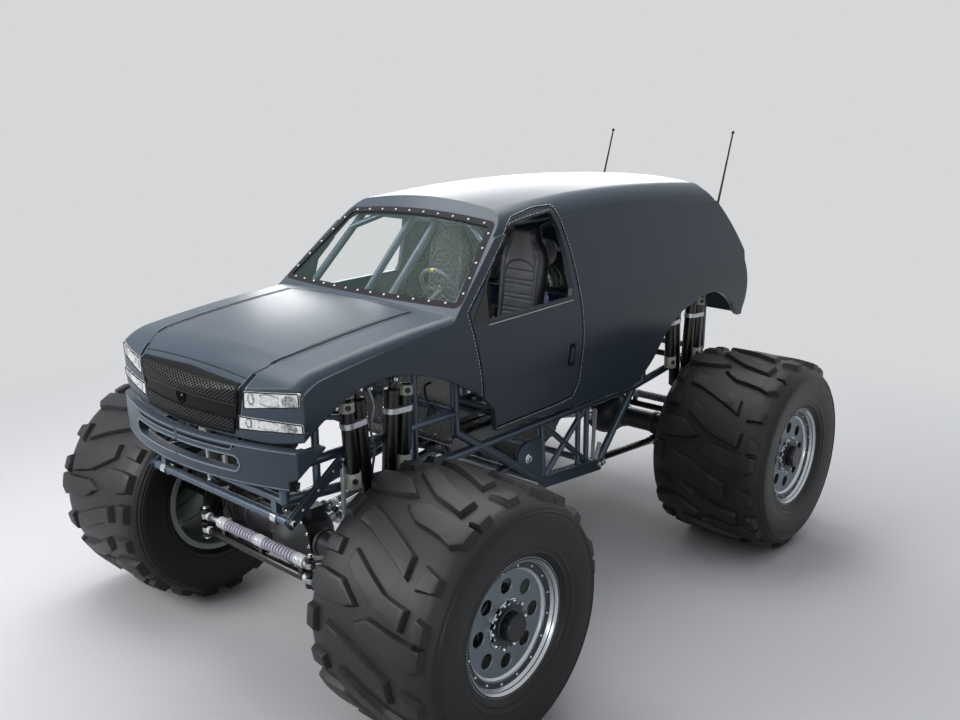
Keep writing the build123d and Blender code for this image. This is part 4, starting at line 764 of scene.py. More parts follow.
# ---------------------------------------------------------------- sway bars
SWAY = {"front": (2.555, 2.140), "rear": (-2.440, -2.140)}  # x of the tube and of the arms' ends
SWAY_TUBE_Z, SWAY_END_Z = 1.372, 1.665
SWAY_Y = 0.757
PLATE_HALF = 0.011  # half the gap between an arm's two plates
PLATE_FACE = SWAY_Y + PLATE_HALF + 0.003
PLATE_EDGE = (0.033, 0.0325)  # how far a plate reaches past its holes, and its half height
for place, (tube_x, end_x) in SWAY.items():
    bm = bmesh.new()
    tube, end = Vector((tube_x, 0, SWAY_TUBE_Z)), Vector((end_x, 0, SWAY_END_Z))
    run = (end - tube).normalized()
    up = Vector((-run.z, 0, run.x)) * (1 if run.x > 0 else -1)
    for way in (1, -1):
        # bolts at both ends and along the outer plates
        for t, r in ((0, 0.020), (1, 0.016), (0.5, 0.009), (0.2, 0.009), (0.8, 0.009)):
            bolts_into(bm, [(tube.lerp(end, t) + across(way * PLATE_FACE), (0, way, 0))], r, r * 0.9)
        # painted highlights along the plates' long edges
        for y in (SWAY_Y - PLATE_HALF, SWAY_Y + PLATE_HALF):
            for edge in (1, -1):
                shift = up * edge * PLATE_EDGE[1]
                tube_into(bm, [tube - run * PLATE_EDGE[0] + shift + across(way * y),
                               end + run * PLATE_EDGE[0] + shift + across(way * y)], 0.0022, 6, index=1)
        # spacers between the plates and the drop link's sleeve
        for t in (0.2, 0.5, 0.8):
            p = tube.lerp(end, t)
            tube_into(bm, [p + across(way * (SWAY_Y - 0.010)), p + across(way * (SWAY_Y + 0.010))], 0.013, 14)
        ring_into(bm, [(0.0142, 0), (0.0165, 0.004), (0.0165, 0.486), (0.0142, 0.490)], 24,
                  pose_axis((end_x, way * SWAY_Y, 1.142), UP), index=2)
        for z in (1.134, 1.634):
            ring_into(bm, collar(0.0142, 0.0185, 0.010, 0.008), 6, pose_axis((end_x, way * SWAY_Y, z), UP))
        # clamps of the tube's bearings
        ring_into(bm, collar(0.0305, 0.040, 0.028, 0.026), 32,
                  pose_axis((tube_x, way * 0.620, SWAY_TUBE_Z), (0, 1, 0)))
    from_bm(f"sway_trim_{place}", bm, [CHROME, PAINTED_HIGHLIGHT_EDGE, WHITE])

# ---------------------------------------------------------------- steering rams
RAM_X = 2.300
RAM_Z = 0.945
RAM_CLAMPS = (-0.360, 0.070, 0.500)
TIE_Z = 0.838
PIN_Y = 0.590
KING_Y = 0.930
SLEEVE = (0, 1, 0)  # along the ram and the tie tube
RAM_CLAMP = ((0.0315, -0.049), (0.0405, -0.046), (0.0418, -0.040), (0.0418, -0.024), (0.0405, -0.020),
             (0.0405, 0.020), (0.0418, 0.024), (0.0418, 0.040), (0.0405, 0.046), (0.0315, 0.049))
BOOT_FOLD = ((0.0315, -0.011), (0.0372, -0.009), (0.0395, 0), (0.0372, 0.009), (0.0315, 0.011))
BOOT_STARTS, BOOT_PITCH, BOOT_FOLDS = (-0.308, 0.122), 0.030, 11
KING_CAP = ((0.0300, 0), (0.0440, 0.002), (0.0440, 0.012), (0.036, 0.020), (0.022, 0.024), (0, 0.024))
KING_COLLARS = (((0.0752, -0.150), (0.0790, -0.146), (0.0790, -0.120), (0.0752, -0.116)),
                ((0.0752, 0.116), (0.0790, 0.120), (0.0790, 0.146), (0.0752, 0.150)))
SPINDLE_FLANGE = ((0.0552, 1.060), (0.118, 1.062), (0.122, 1.068), (0.122, 1.088), (0.116, 1.094),
                  (0.0552, 1.096))
OIL_LINE = ((0, 1.065, 0.120), (0.05, 1.14, 0.21), (0.06, 1.32, 0.245), (0.03, 1.52, 0.21),
            (0.01, 1.68, 0.13), (0, 1.70, 0.05))  # out of the axle's x; y; over the axle
for place, ahead in ENDS:
    bm = bmesh.new()
    x = ahead * RAM_X
    for y in RAM_CLAMPS:
        ring_into(bm, RAM_CLAMP, 40, pose_axis((x, y, RAM_Z), SLEEVE))
        bolts_into(bm, [((x + 0.036, y + s * 0.020, RAM_Z + 0.012), (1, 0, 0.3)) for s in (-1, 1)],
                   0.008, 0.008, index=1)
    for start in BOOT_STARTS:
        for k in range(BOOT_FOLDS):
            at = (x, start + BOOT_PITCH * k + 0.013, RAM_Z)
            ring_into(bm, BOOT_FOLD, 32, pose_axis(at, SLEEVE), index=2)
    ring_into(bm, [(0.0200, 0), (0.0210, 0.003), (0.0210, 0.108), (0.0200, 0.111)], 32,
              pose_axis((x, -0.410, RAM_Z), (0, -1, 0)), index=3)
    ring_into(bm, [(0.0312, 0), (0.0322, 0.004), (0.0322, 0.968), (0.0312, 0.972)], 32,
              pose_axis((x, -0.486, TIE_Z), SLEEVE), index=4)
    for way in (1, -1):
        # clevis ends and their nuts, on the tie tube and on the ram
        for z, r in ((RAM_Z, 0.0205), (TIE_Z, 0.0212)):
            ring_into(bm, [(r, 0), (r + 0.008, 0.003), (r + 0.010, 0.020), (r + 0.006, 0.036)], 24,
                      pose_axis((x, way * 0.5285, z), (0, way, 0)))
            ring_into(bm, collar(0.0342, 0.0352, 0.018, 0.015), 32, pose_axis((x, way * PIN_Y, z), UP),
                      index=5)
    from_bm(f"steer_trim_{place}", bm, [WHITE, CHROME, BOOT, STEEL, SATIN_BLACK, STEEL],
            f"steer_link_{place}")
    for hand, way in SIDES:
        bm = bmesh.new()
        bolts_into(bm, [((x, way * PIN_Y, 1.001), UP), ((x, way * PIN_Y, 0.782), DOWN)], 0.0185, 0.018)
        ring_into(bm, KING_CAP, 32, pose_axis((ahead * AXLE_X, way * KING_Y, AXLE_Z + 0.227), UP), index=1)
        for profile in KING_COLLARS:
            ring_into(bm, profile, 40, pose_axis((ahead * AXLE_X, way * KING_Y, AXLE_Z), UP), index=1)
        # the spindle's flange, its bolts and a bent oil line
        ring_into(bm, SPINDLE_FLANGE, 48, pose_axis((ahead * AXLE_X, 0, AXLE_Z), (0, way, 0)), index=2)
        bolts_into(bm, [((ahead * AXLE_X + 0.104 * cos(a), way * 1.094, AXLE_Z + 0.104 * sin(a)), (0, way, 0))
                        for a in turns(10)], 0.0085, 0.010)
        line = [(ahead * (AXLE_X + dx), way * y, AXLE_Z + dz) for dx, y, dz in OIL_LINE]
        tube_into(bm, curve_points(line, 0.03), 0.014, index=3)
        from_bm(f"knuckle_trim_{place}_{hand}", bm, [CHROME, STEEL, CHARCOAL, TUBE_PAINT],
                f"knuckle_{place}_{hand}")

# ---------------------------------------------------------------- axles, links and driveline
BELLY_FRONT, BELLY_REAR = Vector((0.020, 0, 0.860)), Vector((-0.735, 0, 0.790))
PLATE_BOLT = (0.230, 1.112)
REAR_PIN = (-0.8003, 0.790)
GUSSET = (0.0145, 0.0024)  # half the gap between the double plates, and the radius of the painted highlights along their rims
GUSSET_ARC = (Vector((0.190, 0.985)), Vector((0.350, 1.150)), Vector((0.200, 1.245)))  # in, middle, out
CHANNEL_HALF = (0.0300, 0.050)  # half width and half height of the belly channel
RODS = (  # each link: its y and its end at the axle, the end's profile, its bolt, and whether it has a sleeve
    (0.631, (0.0813, 0.600, 0.700), ((0.0312, 0.036), (0.0352, 0.040), (0.0352, 0.100), (0.0322, 0.112),
                                     (0.0312, 0.150)), (0.019, 0.016), True),
    (0.205, (0.0963, 0.140, 1.058), ((0.0252, 0.036), (0.0295, 0.040), (0.0295, 0.090), (0.0252, 0.110)),
     (0.016, 0.014), False),
)
UPPER_ROD = (0.100, 1.3037)  # x and z of the upper links' ends at the frame
AXLE_COVER = ((0.196, 0.092), (0.208, 0.094), (0.208, 0.112), (0.190, 0.122), (0.150, 0.165),
              (0.090, 0.200), (0.050, 0.219), (0, 0.2195))
YOKE = ((0.0460, 0.060), (0.0750, 0.064), (0.0780, 0.072), (0.0780, 0.088), (0.0600, 0.096),
        (0.0560, 0.150), (0.0462, 0.162))
bm = bmesh.new()
run = (BELLY_REAR - BELLY_FRONT).normalized()
up = Vector((-run.z, 0, run.x)) * (1 if run.x > 0 else -1)
for way in (1, -1):
    # double link plates: their bolt, and painted highlights along their rims down the gusset's edge
    bolts_into(bm, [((PLATE_BOLT[0], way * (FRAME_Y + GUSSET[0]), PLATE_BOLT[1]), (0, way, 0))], 0.026, 0.022,
               washer=1.1)
    start, middle, stop = GUSSET_ARC
    arc = [start * (1 - t) * (1 - 2 * t) + middle * 4 * t * (1 - t) + stop * t * (2 * t - 1)
           for t in (k / 12 for k in range(13))]
    for y in (GUSSET[0], -GUSSET[0]):
        tube_into(bm, [(px, way * (FRAME_Y + y), pz) for px, pz in ((0.015, 0.830), (0.190, 0.985), *arc,
                                                                    (0.020, 1.235))], GUSSET[1], 6, index=1)
    # painted highlights along the belly channel's upper edges, and darker lower ones in the frame's paint
    for y in (CHANNEL_HALF[0], -CHANNEL_HALF[0]):
        for edge, radius, mat in ((CHANNEL_HALF[1], 0.0028, 1), (-CHANNEL_HALF[1], 0.0016, 2)):
            shift = across(way * (FRAME_Y + y))
            tube_into(bm, [BELLY_FRONT - run * 0.018 + up * edge + shift,
                           BELLY_REAR + run * 0.018 + up * edge + shift], radius, 6, index=mat)
    # a row of dark slots along its top, thin dark plates of painted shade, and the bolts at its rear
    lip = [BELLY_FRONT - run * 0.016 + up * 0.0515, BELLY_REAR + run * 0.016 + up * 0.0515]
    for k in range(15):
        at = lip[0].lerp(lip[1], (k + 0.5) / 15) + across(way * FRAME_Y)
        block_into(bm, (0.030, 0.016, 0.002), pose_axis(at, up), 0.0006, 3)
    bolts_into(bm, [((REAR_PIN[0], way * (FRAME_Y + 0.019), REAR_PIN[1]), (0, way, 0)),
                    ((BELLY_REAR.x, way * (FRAME_Y + 0.031), BELLY_REAR.z + 0.004), (0, way, 0))],
               0.020, 0.018, washer=1.1)
    # silver upright plate and its foot at the rear of the truss
    for size, px, pz, lean in (((0.012, 0.036, 0.44), -0.655, 1.085, -3),
                               ((0.026, 0.030, 0.17), -0.715, 0.905, -24)):
        block_into(bm, size, Matrix.Translation((px, way * (FRAME_Y + 0.012), pz))
                   @ Matrix.Rotation(radians(lean), 4, "Y"), index=4)
    # sleeves where tubes meet
    for px in (0.060, -0.560):
        ring_into(bm, collar(0.0322, 0.0352, 0.034, 0.030), 32, pose_axis((px, way * FRAME_Y, 1.365), AHEAD),
                  index=5)
for ahead in (1, -1):
    x = ahead * AXLE_X
    hub = Vector((x, 0, AXLE_Z))
    for way in (1, -1):
        frame_ends = (PLATE_BOLT if ahead > 0 else REAR_PIN, (ahead * UPPER_ROD[0], UPPER_ROD[1]))
        for (px, pz), (y, (back, axle_y, axle_z), steps, bolt, sleeved) in zip(frame_ends, RODS):
            a, b = Vector((px, way * y, pz)), Vector((ahead * (AXLE_X - back), way * axle_y, axle_z))
            d = (b - a).normalized()
            for at, axis in ((a, d), (b, -d)):
                ring_into(bm, steps, 6, pose_axis(at, axis))
                bolts_into(bm, [(at + across(way * 0.032), (0, way, 0))], *bolt)
                if sleeved:
                    ring_into(bm, collar(0.0362, 0.0375, 0.026, 0.022), 32, pose_axis(at, SLEEVE), index=6)
    # the axle's centre: its cover, the cover's bolts and ribs along the tubes
    ring_into(bm, AXLE_COVER, 56, pose_axis(hub, (ahead, 0, 0)), index=7)
    bolts_into(bm, [((x + ahead * 0.114, 0.198 * cos(t), AXLE_Z + 0.198 * sin(t)), (ahead, 0, 0))
                    for t in turns(14)], 0.010, 0.012)
    for way in (1, -1):
        for y in (0.235, 0.560, 0.745):
            ring_into(bm, collar(0.0952, 0.106, 0.016, 0.012), 40, pose_axis(hub + across(way * y), SLEEVE),
                      index=7)
        bolts_into(bm, [((x + 0.098 * cos(t), way * 0.759, AXLE_Z + 0.098 * sin(t)), (0, way, 0))
                        for t in turns(8, 0.5)], 0.0085, 0.010)
    # universal joints at both ends of the shaft
    start = Vector((-0.060 + ahead * 0.230, 0, 1.2707 - 0.100))
    d = (hub - start).normalized()
    for at, axis in ((start, d), (hub - d * 0.222, -d)):
        ring_into(bm, YOKE, 40, pose_axis(at, axis))
        side = axis.cross(Vector(SLEEVE)).normalized()
        bolts_into(bm, [(at + axis * 0.089 + (side * cos(t) + Vector(SLEEVE) * sin(t)) * 0.066, axis)
                        for t in turns(6)], 0.007, 0.009, index=3)
from_bm("frame_trim", bm, [CHROME, PAINTED_HIGHLIGHT_EDGE, TUBE_PAINT, CHARCOAL, WHITE, TUBE_PAINT, SATIN_BLACK, CAST])


# ---------------------------------------------------------------- body: seams, borders, groove
DOOR_OUTLINE = ((1.168, 2.462), (0.878, 2.712), (0.698, 2.874), (0.590, 2.980), (0.510, 3.026),
                (0.251, 3.068), (0.042, 3.072), (0.000, 2.943), (-0.050, 2.764), (-0.078, 2.560),
                (-0.090, 2.203), (-0.098, 1.965), (-0.094, 1.726), (-0.033, 1.603), (0.145, 1.590),
                (1.010, 1.576),
                (1.049, 1.883), (1.119, 2.190), (1.157, 2.380))
DOOR_WINDOW = ((0.974, 2.378), (0.941, 2.606), (0.767, 2.810), (0.654, 2.906), (0.560, 2.972), (0.362, 3.001),
               (0.100, 3.024), (0.040, 2.878), (0.013, 2.700), (0.005, 2.453), (0.030, 2.398))
WINDOW_SILL = ((0.985, 2.352), (0.600, 2.360), (0.020, 2.376))
WINDOW_HEAD = ((0.100, 3.040), (0.362, 3.017), (0.560, 2.988), (0.660, 2.920))
QUARTER = ((1.112, 2.392), (1.122, 2.412), (0.956, 2.586), (0.990, 2.392))
HANDLE = (0.005, 0.082, 1.868, 2.052)  # x and z of the handle's recess
BESIDE_Y = 1.3


def grown(outline, by):
    """A closed outline moved outwards by a distance."""
    return moved_edges(outline, by, 0.6)


def rounded(outline, share=0.30, steps=4):
    """A closed outline with its corners cut round."""
    pts = [Vector(p) for p in outline]
    out = []
    for i, q in enumerate(pts):
        p, r = pts[i - 1], pts[(i + 1) % len(pts)]
        reach = min((q - p).length, (r - q).length) * share
        a, b = q + (p - q).normalized() * reach, q + (r - q).normalized() * reach
        for k in range(steps + 1):
            t = k / steps
            out.append(a * (1 - t) ** 2 + q * 2 * t * (1 - t) + b * t * t)
    return out


def beside(way, points):
    """(x, z) points as points beside the truck."""
    return [(p[0], way * BESIDE_Y, p[1]) for p in points]


skin_body = surface("body_shell")
for hand, way in SIDES:
    inward = (0, -way, 0)
    # the shut line's light broken edge, on the body and on the door
    bm = bmesh.new()
    strip_into(bm, skin_body, beside(way, rounded(grown(DOOR_OUTLINE, 0.004), 0.2)), inward, 0.0045, 0.006,
               True, dash=(0.016, 0.010), lift=0.0012)
    from_bm(f"seam_body_{hand}", bm, [SEAM_LIGHT], sharp=40)
    bm = bmesh.new()
    door = surface(f"door_{hand}")
    strip_into(bm, door, beside(way, rounded(grown(DOOR_OUTLINE, -0.013), 0.2)), inward, 0.006, 0.015, True,
               index=2, lift=0.0010)
    # rubber round the window, the bright strip under it and the black quarter panel
    strip_into(bm, door, beside(way, rounded(grown(DOOR_WINDOW, 0.012), 0.2)), inward, 0.022, 0.012, True,
               lift=0.0025)
    strip_into(bm, door, beside(way, WINDOW_SILL), inward, 0.0055, 0.015, index=1, lift=0.004)
    strip_into(bm, door, beside(way, WINDOW_HEAD), inward, 0.003, 0.012, index=1, lift=0.004,
               dash=(0.03, 0.012))
    patch_into(bm, door, beside(way, rounded(QUARTER, 0.15)), inward, 0.004, 5, 0)
    # handle recess and its paddle
    x0, x1, z0, z1 = HANDLE
    recess = beside(way, rounded(((x0, z0), (x1, z0 + 0.010), (x1 - 0.006, z1),
                                  (x0 + 0.004, z1 - 0.008)), 0.32))
    patch_into(bm, door, recess, inward, 0.0012, 4, 3)
    strip_into(bm, door, recess, inward, 0.003, 0.01, True, index=2, lift=0.002)
    paddle = beside(way, rounded(((x0 + 0.018, z0 + 0.03), (x1 - 0.014, z0 + 0.034), (x1 - 0.018, z1 - 0.03),
                             (x0 + 0.020, z1 - 0.036)), 0.32))
    patch_into(bm, door, paddle, inward, 0.007, 3, 4)
    from_bm(f"door_trim_{hand}", bm, [SATIN_BLACK, SEAM_LIGHT, GROOVE, GROOVE, PAINT], f"door_{hand}", 35)

# windshield and rear window: white rivets round their borders
SCREEN_RAKE = radians(40.2)
REAR_RAKE = math.atan2(3.045 - 2.309, -2.200 + 2.785)
# each: foot, the way up the pane and the way out of it
SCREEN = (Vector((1.232, 0, 2.493)), Vector((-cos(SCREEN_RAKE), 0, sin(SCREEN_RAKE))),
          Vector((sin(SCREEN_RAKE), 0, cos(SCREEN_RAKE))))
REAR_WINDOW = (Vector((-2.785, 0, 2.309)), Vector((cos(REAR_RAKE), 0, sin(REAR_RAKE))),
               Vector((-sin(REAR_RAKE), 0, cos(REAR_RAKE))))
RIVET = ((0.0082, -0.001), (0.0077, 0.0022), (0.0058, 0.0042), (0.0030, 0.0052), (0, 0.0056))
skin_frames = surface("screen_frames")
bm = bmesh.new()


def rivet_row(pane, start, end, count, bow=0.0):
    """Rivets from one (across, up) point of a pane to another, the row bowed at its middle."""
    foot, up, out = pane
    for k in range(count):
        t = (k + 0.5) / count
        y = start[0] + (end[0] - start[0]) * t
        h = start[1] + (end[1] - start[1]) * t + bow * 4 * t * (1 - t)
        hit, normal, _, _ = skin_frames.ray_cast(foot + up * h + across(y) + out * 0.5, -out, 1.0)
        if hit is not None:
            ring_into(bm, RIVET, 14, pose_axis(hit, normal if normal.dot(out) > 0 else -normal))


rivet_row(SCREEN, (-0.86, 0.030), (0.86, 0.030), 13, -0.066)
rivet_row(SCREEN, (-0.74, 0.732), (0.74, 0.732), 10, 0.022)
for way in (1, -1):
    rivet_row(SCREEN, (way * 0.892, 0.060), (way * 0.740, 0.718), 5)
    rivet_row(REAR_WINDOW, (way * 0.668, 0.130), (way * 0.582, 0.520), 5)
for h, half, count in ((0.115, 0.66, 12), (0.535, 0.57, 10)):
    rivet_row(REAR_WINDOW, (-half, h), (half, h), count)
from_bm("screen_rivets", bm, [SEAM_LIGHT], sharp=50)

# hood groove, a dark ribbon of painted shade with painted highlights along its lips: from the cowl along the
# hood's edge, over the nose and down between grille and lamps
GROOVE_TOP = ((1.405, 0.647), (2.150, 0.647), (2.420, 0.638), (2.560, 0.616))
GROOVE_TURN = (2.300, 2.020)  # x and z about which the groove bends over the nose
GROOVE_STEPS = 34
GROOVE_ARC = (58, 68)  # degrees over level where the bend starts, and how far it turns
GROOVE_WIDTH, GROOVE_RIM = 0.044, 0.0235  # the painted highlight lines lie this far from its middle
bm = bmesh.new()
for way in (1, -1):
    path = drape(skin_body, [(x, way * y, 3.2) for x, y in GROOVE_TOP], DOWN)
    bend = []
    for k in range(GROOVE_STEPS):
        t = k / (GROOVE_STEPS - 1)
        a = radians(GROOVE_ARC[0] - GROOVE_ARC[1] * t)
        y = 0.606 - 0.056 * min(1, t * 1.6) - 0.052 * max(0, (t - 0.45) / 0.55)
        start = Vector((GROOVE_TURN[0] + 0.9 * cos(a), way * y, GROOVE_TURN[1] + 0.9 * sin(a)))
        hit, normal, _, _ = skin_body.ray_cast(start, Vector((-cos(a), 0, -sin(a))), 1.5)
        if hit is not None and (not bend or (hit - bend[-1][0]).length < 0.08):
            bend.append((hit, normal if normal.x * cos(a) + normal.z * sin(a) > 0 else -normal))
    path += bend
    ribbon_into(bm, path, GROOVE_WIDTH, 0.0012)
    for side in (1, -1):
        rim = []
        for i, (p, n) in enumerate(path):
            ahead = path[min(i + 1, len(path) - 1)][0] - path[max(i - 1, 0)][0]
            rim.append((p + ahead.cross(n).normalized() * side * GROOVE_RIM, n))
        ribbon_into(bm, rim, 0.0045, 0.0022, index=1)
from_bm("hood_groove", bm, [GROOVE, PAINTED_HIGHLIGHT_EDGE], sharp=40)

# antennas: a tapering whip with a ball at its tip
WHIP_TIP = (-2.862, 0.680, 3.512)
bm = bmesh.new()
low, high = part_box("antennas")
for way in (1, -1):
    foot = Vector((high[0] - 0.020, way * WHIP_TIP[1], low[2] + 0.020))
    tip = Vector((WHIP_TIP[0], way * WHIP_TIP[1], WHIP_TIP[2]))
    tube_into(bm, [foot.lerp(tip, k / 12) for k in range(13)], lambda t: 0.0125 - 0.0045 * t)
    ring_into(bm, [(0, -0.014), (0.010, -0.011), (0.0135, -0.004), (0.0135, 0.004), (0.010, 0.011),
                   (0, 0.014)], 16, pose_axis(tip, tip - foot))
from_bm("antenna_whips", bm, [SATIN_BLACK], sharp=50)

# ---------------------------------------------------------------- nose
FRONT_X = 3.4  # paths start this far ahead and land on the nose
BACKWARDS = (-1, 0, 0)
MESH_BANDS = ((2.112, 2.212), (1.944, 2.010))  # z of the two mesh bands
MESH_PITCH = (0.034, 0.021)  # width and height of a diamond
BACKING_PITCH = 0.045
GRILLE_SIDE = ((0.484, 1.925), (0.524, 2.216))  # half width at two heights
skin_grille, skin_lamps, skin_bumper = surface("grille"), surface("headlamps"), surface("front_bumper")


def grille_half(z):
    """Half width of the grille's mesh at a height."""
    (a, z0), (b, z1) = GRILLE_SIDE
    return a + (b - a) * (z - z0) / (z1 - z0) - 0.012


def before(points):
    """(across, up) points as points ahead of the nose."""
    return [(FRONT_X, y, z) for y, z in points]


bm = bmesh.new()
for low, high in MESH_BANDS:
    # a near-black sheet behind the mesh: painted shade in its openings
    half = grille_half((low + high) / 2)
    count = int(half / BACKING_PITCH) + 1
    for k in range(-count, count):
        a, b = max(-half, k * BACKING_PITCH), min(half, (k + 1) * BACKING_PITCH)
        if b - a < 0.002:
            continue
        rows = []
        for z in (low, (low + high) / 2, high):
            hits = [skin_grille.ray_cast(Vector((FRONT_X, y, z)), Vector(BACKWARDS), 2.0)[0] for y in (a, b)]
            rows.append([bm.verts.new(hit + Vector((0.0008, 0, 0))) if hit else None for hit in hits])
        for p, q in zip(rows, rows[1:]):
            if None not in p + q:
                bm.faces.new((p[0], p[1], q[1], q[0])).material_index = 1
    # its wires, each clipped where it leaves the band's sides
    run = (high - low) * MESH_PITCH[0] / MESH_PITCH[1]
    for lean in (1, -1):
        for k in range(int((2 * half + run) / MESH_PITCH[0]) + 2):
            a = -half - run + k * MESH_PITCH[0]
            b = a + run
            clip = [t if abs(y) <= half else ((-half if y < 0 else half) - a) / (b - a)
                    for t, y in ((0, a), (1, a + (b - a)))]
            if 0 <= clip[0] < clip[1] <= 1:
                wire = before((lean * (a + (b - a) * t), low + (high - low) * t) for t in clip)
                strip_into(bm, skin_grille, wire, BACKWARDS, 0.0055, 0.03, lift=0.0050, sink=0.001, index=2)
    outline = before(((-grille_half(low), low), (grille_half(low), low), (grille_half(high), high),
                      (-grille_half(high), high)))
    strip_into(bm, skin_grille, outline, BACKWARDS, 0.010, 0.03, True, lift=0.0055)
for z, width, mat in ((2.100, 0.0055, 3), (1.936, 0.0055, 3), (2.225, 0.012, 0), (1.922, 0.012, 0)):
    half = grille_half(z) + 0.010
    bar = before(((-half, z), (-0.06, z + 0.003), (0.06, z + 0.003), (half, z)))
    strip_into(bm, skin_grille, bar, BACKWARDS, width, 0.03, lift=0.0045, index=mat)
for way in (1, -1):
    side = before((way * (grille_half(z) + 0.012), z) for z in (1.925, 2.07, 2.216))
    strip_into(bm, skin_grille, side, BACKWARDS, 0.010, 0.03, lift=0.0045)
    bolts_into(bm, [((2.742, way * 0.115, 2.062), AHEAD)], 0.004, 0.004, index=4)
ring_into(bm, [(0.0525, -0.02), (0.0525, 0.001), (0.048, 0.004), (0.040, 0.002), (0.020, 0.0015), (0, 0.001)],
          40, pose_axis((2.7685, 0, 2.075), AHEAD), index=1)
bolts_into(bm, [((2.7695, 0.012, 2.079), AHEAD)], 0.004, 0.003, index=4)
from_bm("grille_mesh", bm, [GRILLE_BLACK, GRILLE_SHADE_AND_DISC, MESH_WIRE, MESH_WIRE, CHROME], sharp=40)

# headlamps: ovals of painted reflection behind the cover, and a dark rim
LAMPS = ((2.166, 0.765, 0.200, 0.046, 0.010), (2.012, 0.748, 0.215, 0.036, 0.008))  # z, y, half sizes, rise
LAMP_OVALS = (  # share across, half width, share of the half height, material
    (-0.70, 0.026, 0.90, 1), (-0.70, 0.014, 0.55, 2), (-0.04, 0.088, 0.86, 1), (-0.04, 0.076, 0.70, 2),
    (-0.04, 0.040, 0.34, 0), (0.66, 0.048, 0.94, 1), (0.66, 0.030, 0.62, 3), (-0.40, 0.012, 0.60, 0),
    (0.36, 0.012, 0.60, 0))
LAMP_LIFT = (0.0027, 0.0017, 0.0022, 0.0022)  # of each material's ovals, so that they lie over each other
LAMP_COVERS = (((0.562, 2.085), (0.962, 2.148), (0.958, 2.236), (0.566, 2.197)),
               ((0.512, 1.952), (0.980, 1.992), (0.976, 2.052), (0.516, 2.040)))


def oval(y, z, ry, rz):
    """An upright oval's outline ahead of the nose."""
    return before((y + ry * cos(a), z + rz * sin(a)) for a in turns(28))


bm = bmesh.new()
for z, y, half, tall, rise in LAMPS:
    for way in (1, -1):
        for share, ry, rz, mat in LAMP_OVALS:
            shape = oval(way * (y + share * half), z + share * rise, ry, tall * rz)
            patch_into(bm, skin_lamps, shape, BACKWARDS, LAMP_LIFT[mat], 3, mat)
from_bm("lamp_reflectors", bm, [LAMP_CLEAR, LAMP_DARK, LAMP_BRIGHT, LAMP_DARK], sharp=40)
bm = bmesh.new()
for outline in LAMP_COVERS:
    for way in (1, -1):
        edge = before((way * y, z) for y, z in rounded(grown(outline, -0.005), 0.14))
        strip_into(bm, skin_lamps, edge, BACKWARDS, 0.006, closed=True, lift=0.003)
from_bm("lamp_rims", bm, [GROOVE], sharp=40)

# bumper: painted highlights along its steps and round the lip of its long slot, and a dark band of painted
# shade
BUMPER_LINES = (  # (y, z) of a line on one side, its width, lift and material
    (((0.000, 1.876), (0.500, 1.876), (0.940, 1.876)), 0.006, 0.002, 0),
    (((0.000, 1.838), (0.470, 1.838), (0.500, 1.842), (0.520, 1.872)), 0.006, 0.002, 0),
    (((0, 1.853), (0.5, 1.853), (0.535, 1.870)), 0.016, 0.0012, 1),
    (((0, 1.650), (0.5, 1.650), (0.93, 1.650)), 0.005, 0.002, 0),
)
SLOT_Z = (1.716, 1.800)
SLOT_HALF = 0.560
SLOT_LIP = 0.007
BUMPER_TIP = 2.8298  # the foremost x of the truck
bm = bmesh.new()
for way in (1, -1):
    for line, width, lift, mat in BUMPER_LINES:
        strip_into(bm, skin_bumper, before((way * y, z) for y, z in line), BACKWARDS, width, lift=lift,
                   index=mat)
radius = (SLOT_Z[1] - SLOT_Z[0]) / 2 + SLOT_LIP
middle = (SLOT_Z[0] + SLOT_Z[1]) / 2
slot = [(way * (SLOT_HALF - radius + SLOT_LIP) + radius * cos(radians(start + 18 * k)),
         middle + radius * sin(radians(start + 18 * k)))
        for way, start in ((1, -90), (-1, 90)) for k in range(11)]
strip_into(bm, skin_bumper, before(slot), BACKWARDS, 0.009, closed=True, lift=0.004)
for v in bm.verts:
    v.co.x = min(v.co.x, BUMPER_TIP)
from_bm("bumper_lines", bm, [PAINTED_HIGHLIGHT_EDGE, GROOVE], sharp=40)

# tail lamps: ribs and a dark rim
TAIL_RIBS, TAIL_EDGES = (0.812, 0.920), (0.806, 0.924)
skin_tail = surface("tail_lamps")
bm = bmesh.new()
for way in (1, -1):
    for k in range(7):
        rib_line = [(-FRONT_X, way * y, 1.985 + k * 0.046) for y in TAIL_RIBS]
        strip_into(bm, skin_tail, rib_line, AHEAD, 0.006, lift=0.003, index=0 if k % 3 else 1)
    (a, b), low, high = TAIL_EDGES, 1.966, 2.284
    edge = [(-FRONT_X, way * y, z) for y, z in ((a, low), (b, low), (b, high), (a, high))]
    strip_into(bm, skin_tail, edge, AHEAD, 0.008, closed=True, lift=0.004, index=1)
from_bm("tail_lamp_ribs", bm, [TAIL_RED, GROOVE], sharp=40)

# ---------------------------------------------------------------- cabin
WHEEL_CENTRE = Vector((0.850, 0.395, 2.500))
COLUMN_WAY = Vector((cos(radians(28)), 0, -sin(radians(28))))
WHEEL_RADIUS = 0.178
RIM_STEPS = 72  # arcs are counted in these steps round the rim, from its top
rim_turn = pose_axis(WHEEL_CENTRE, COLUMN_WAY)


def on_rim(step):
    """A point of the steering wheel's rim."""
    a = step * pi / (RIM_STEPS / 2)
    return rim_turn @ Vector((WHEEL_RADIUS * cos(a), WHEEL_RADIUS * sin(a), 0))


def rim_arc(start, end, steps):
    """Points along the steering wheel's rim."""
    return [on_rim(top + start + (end - start) * k / steps) for k in range(steps + 1)]


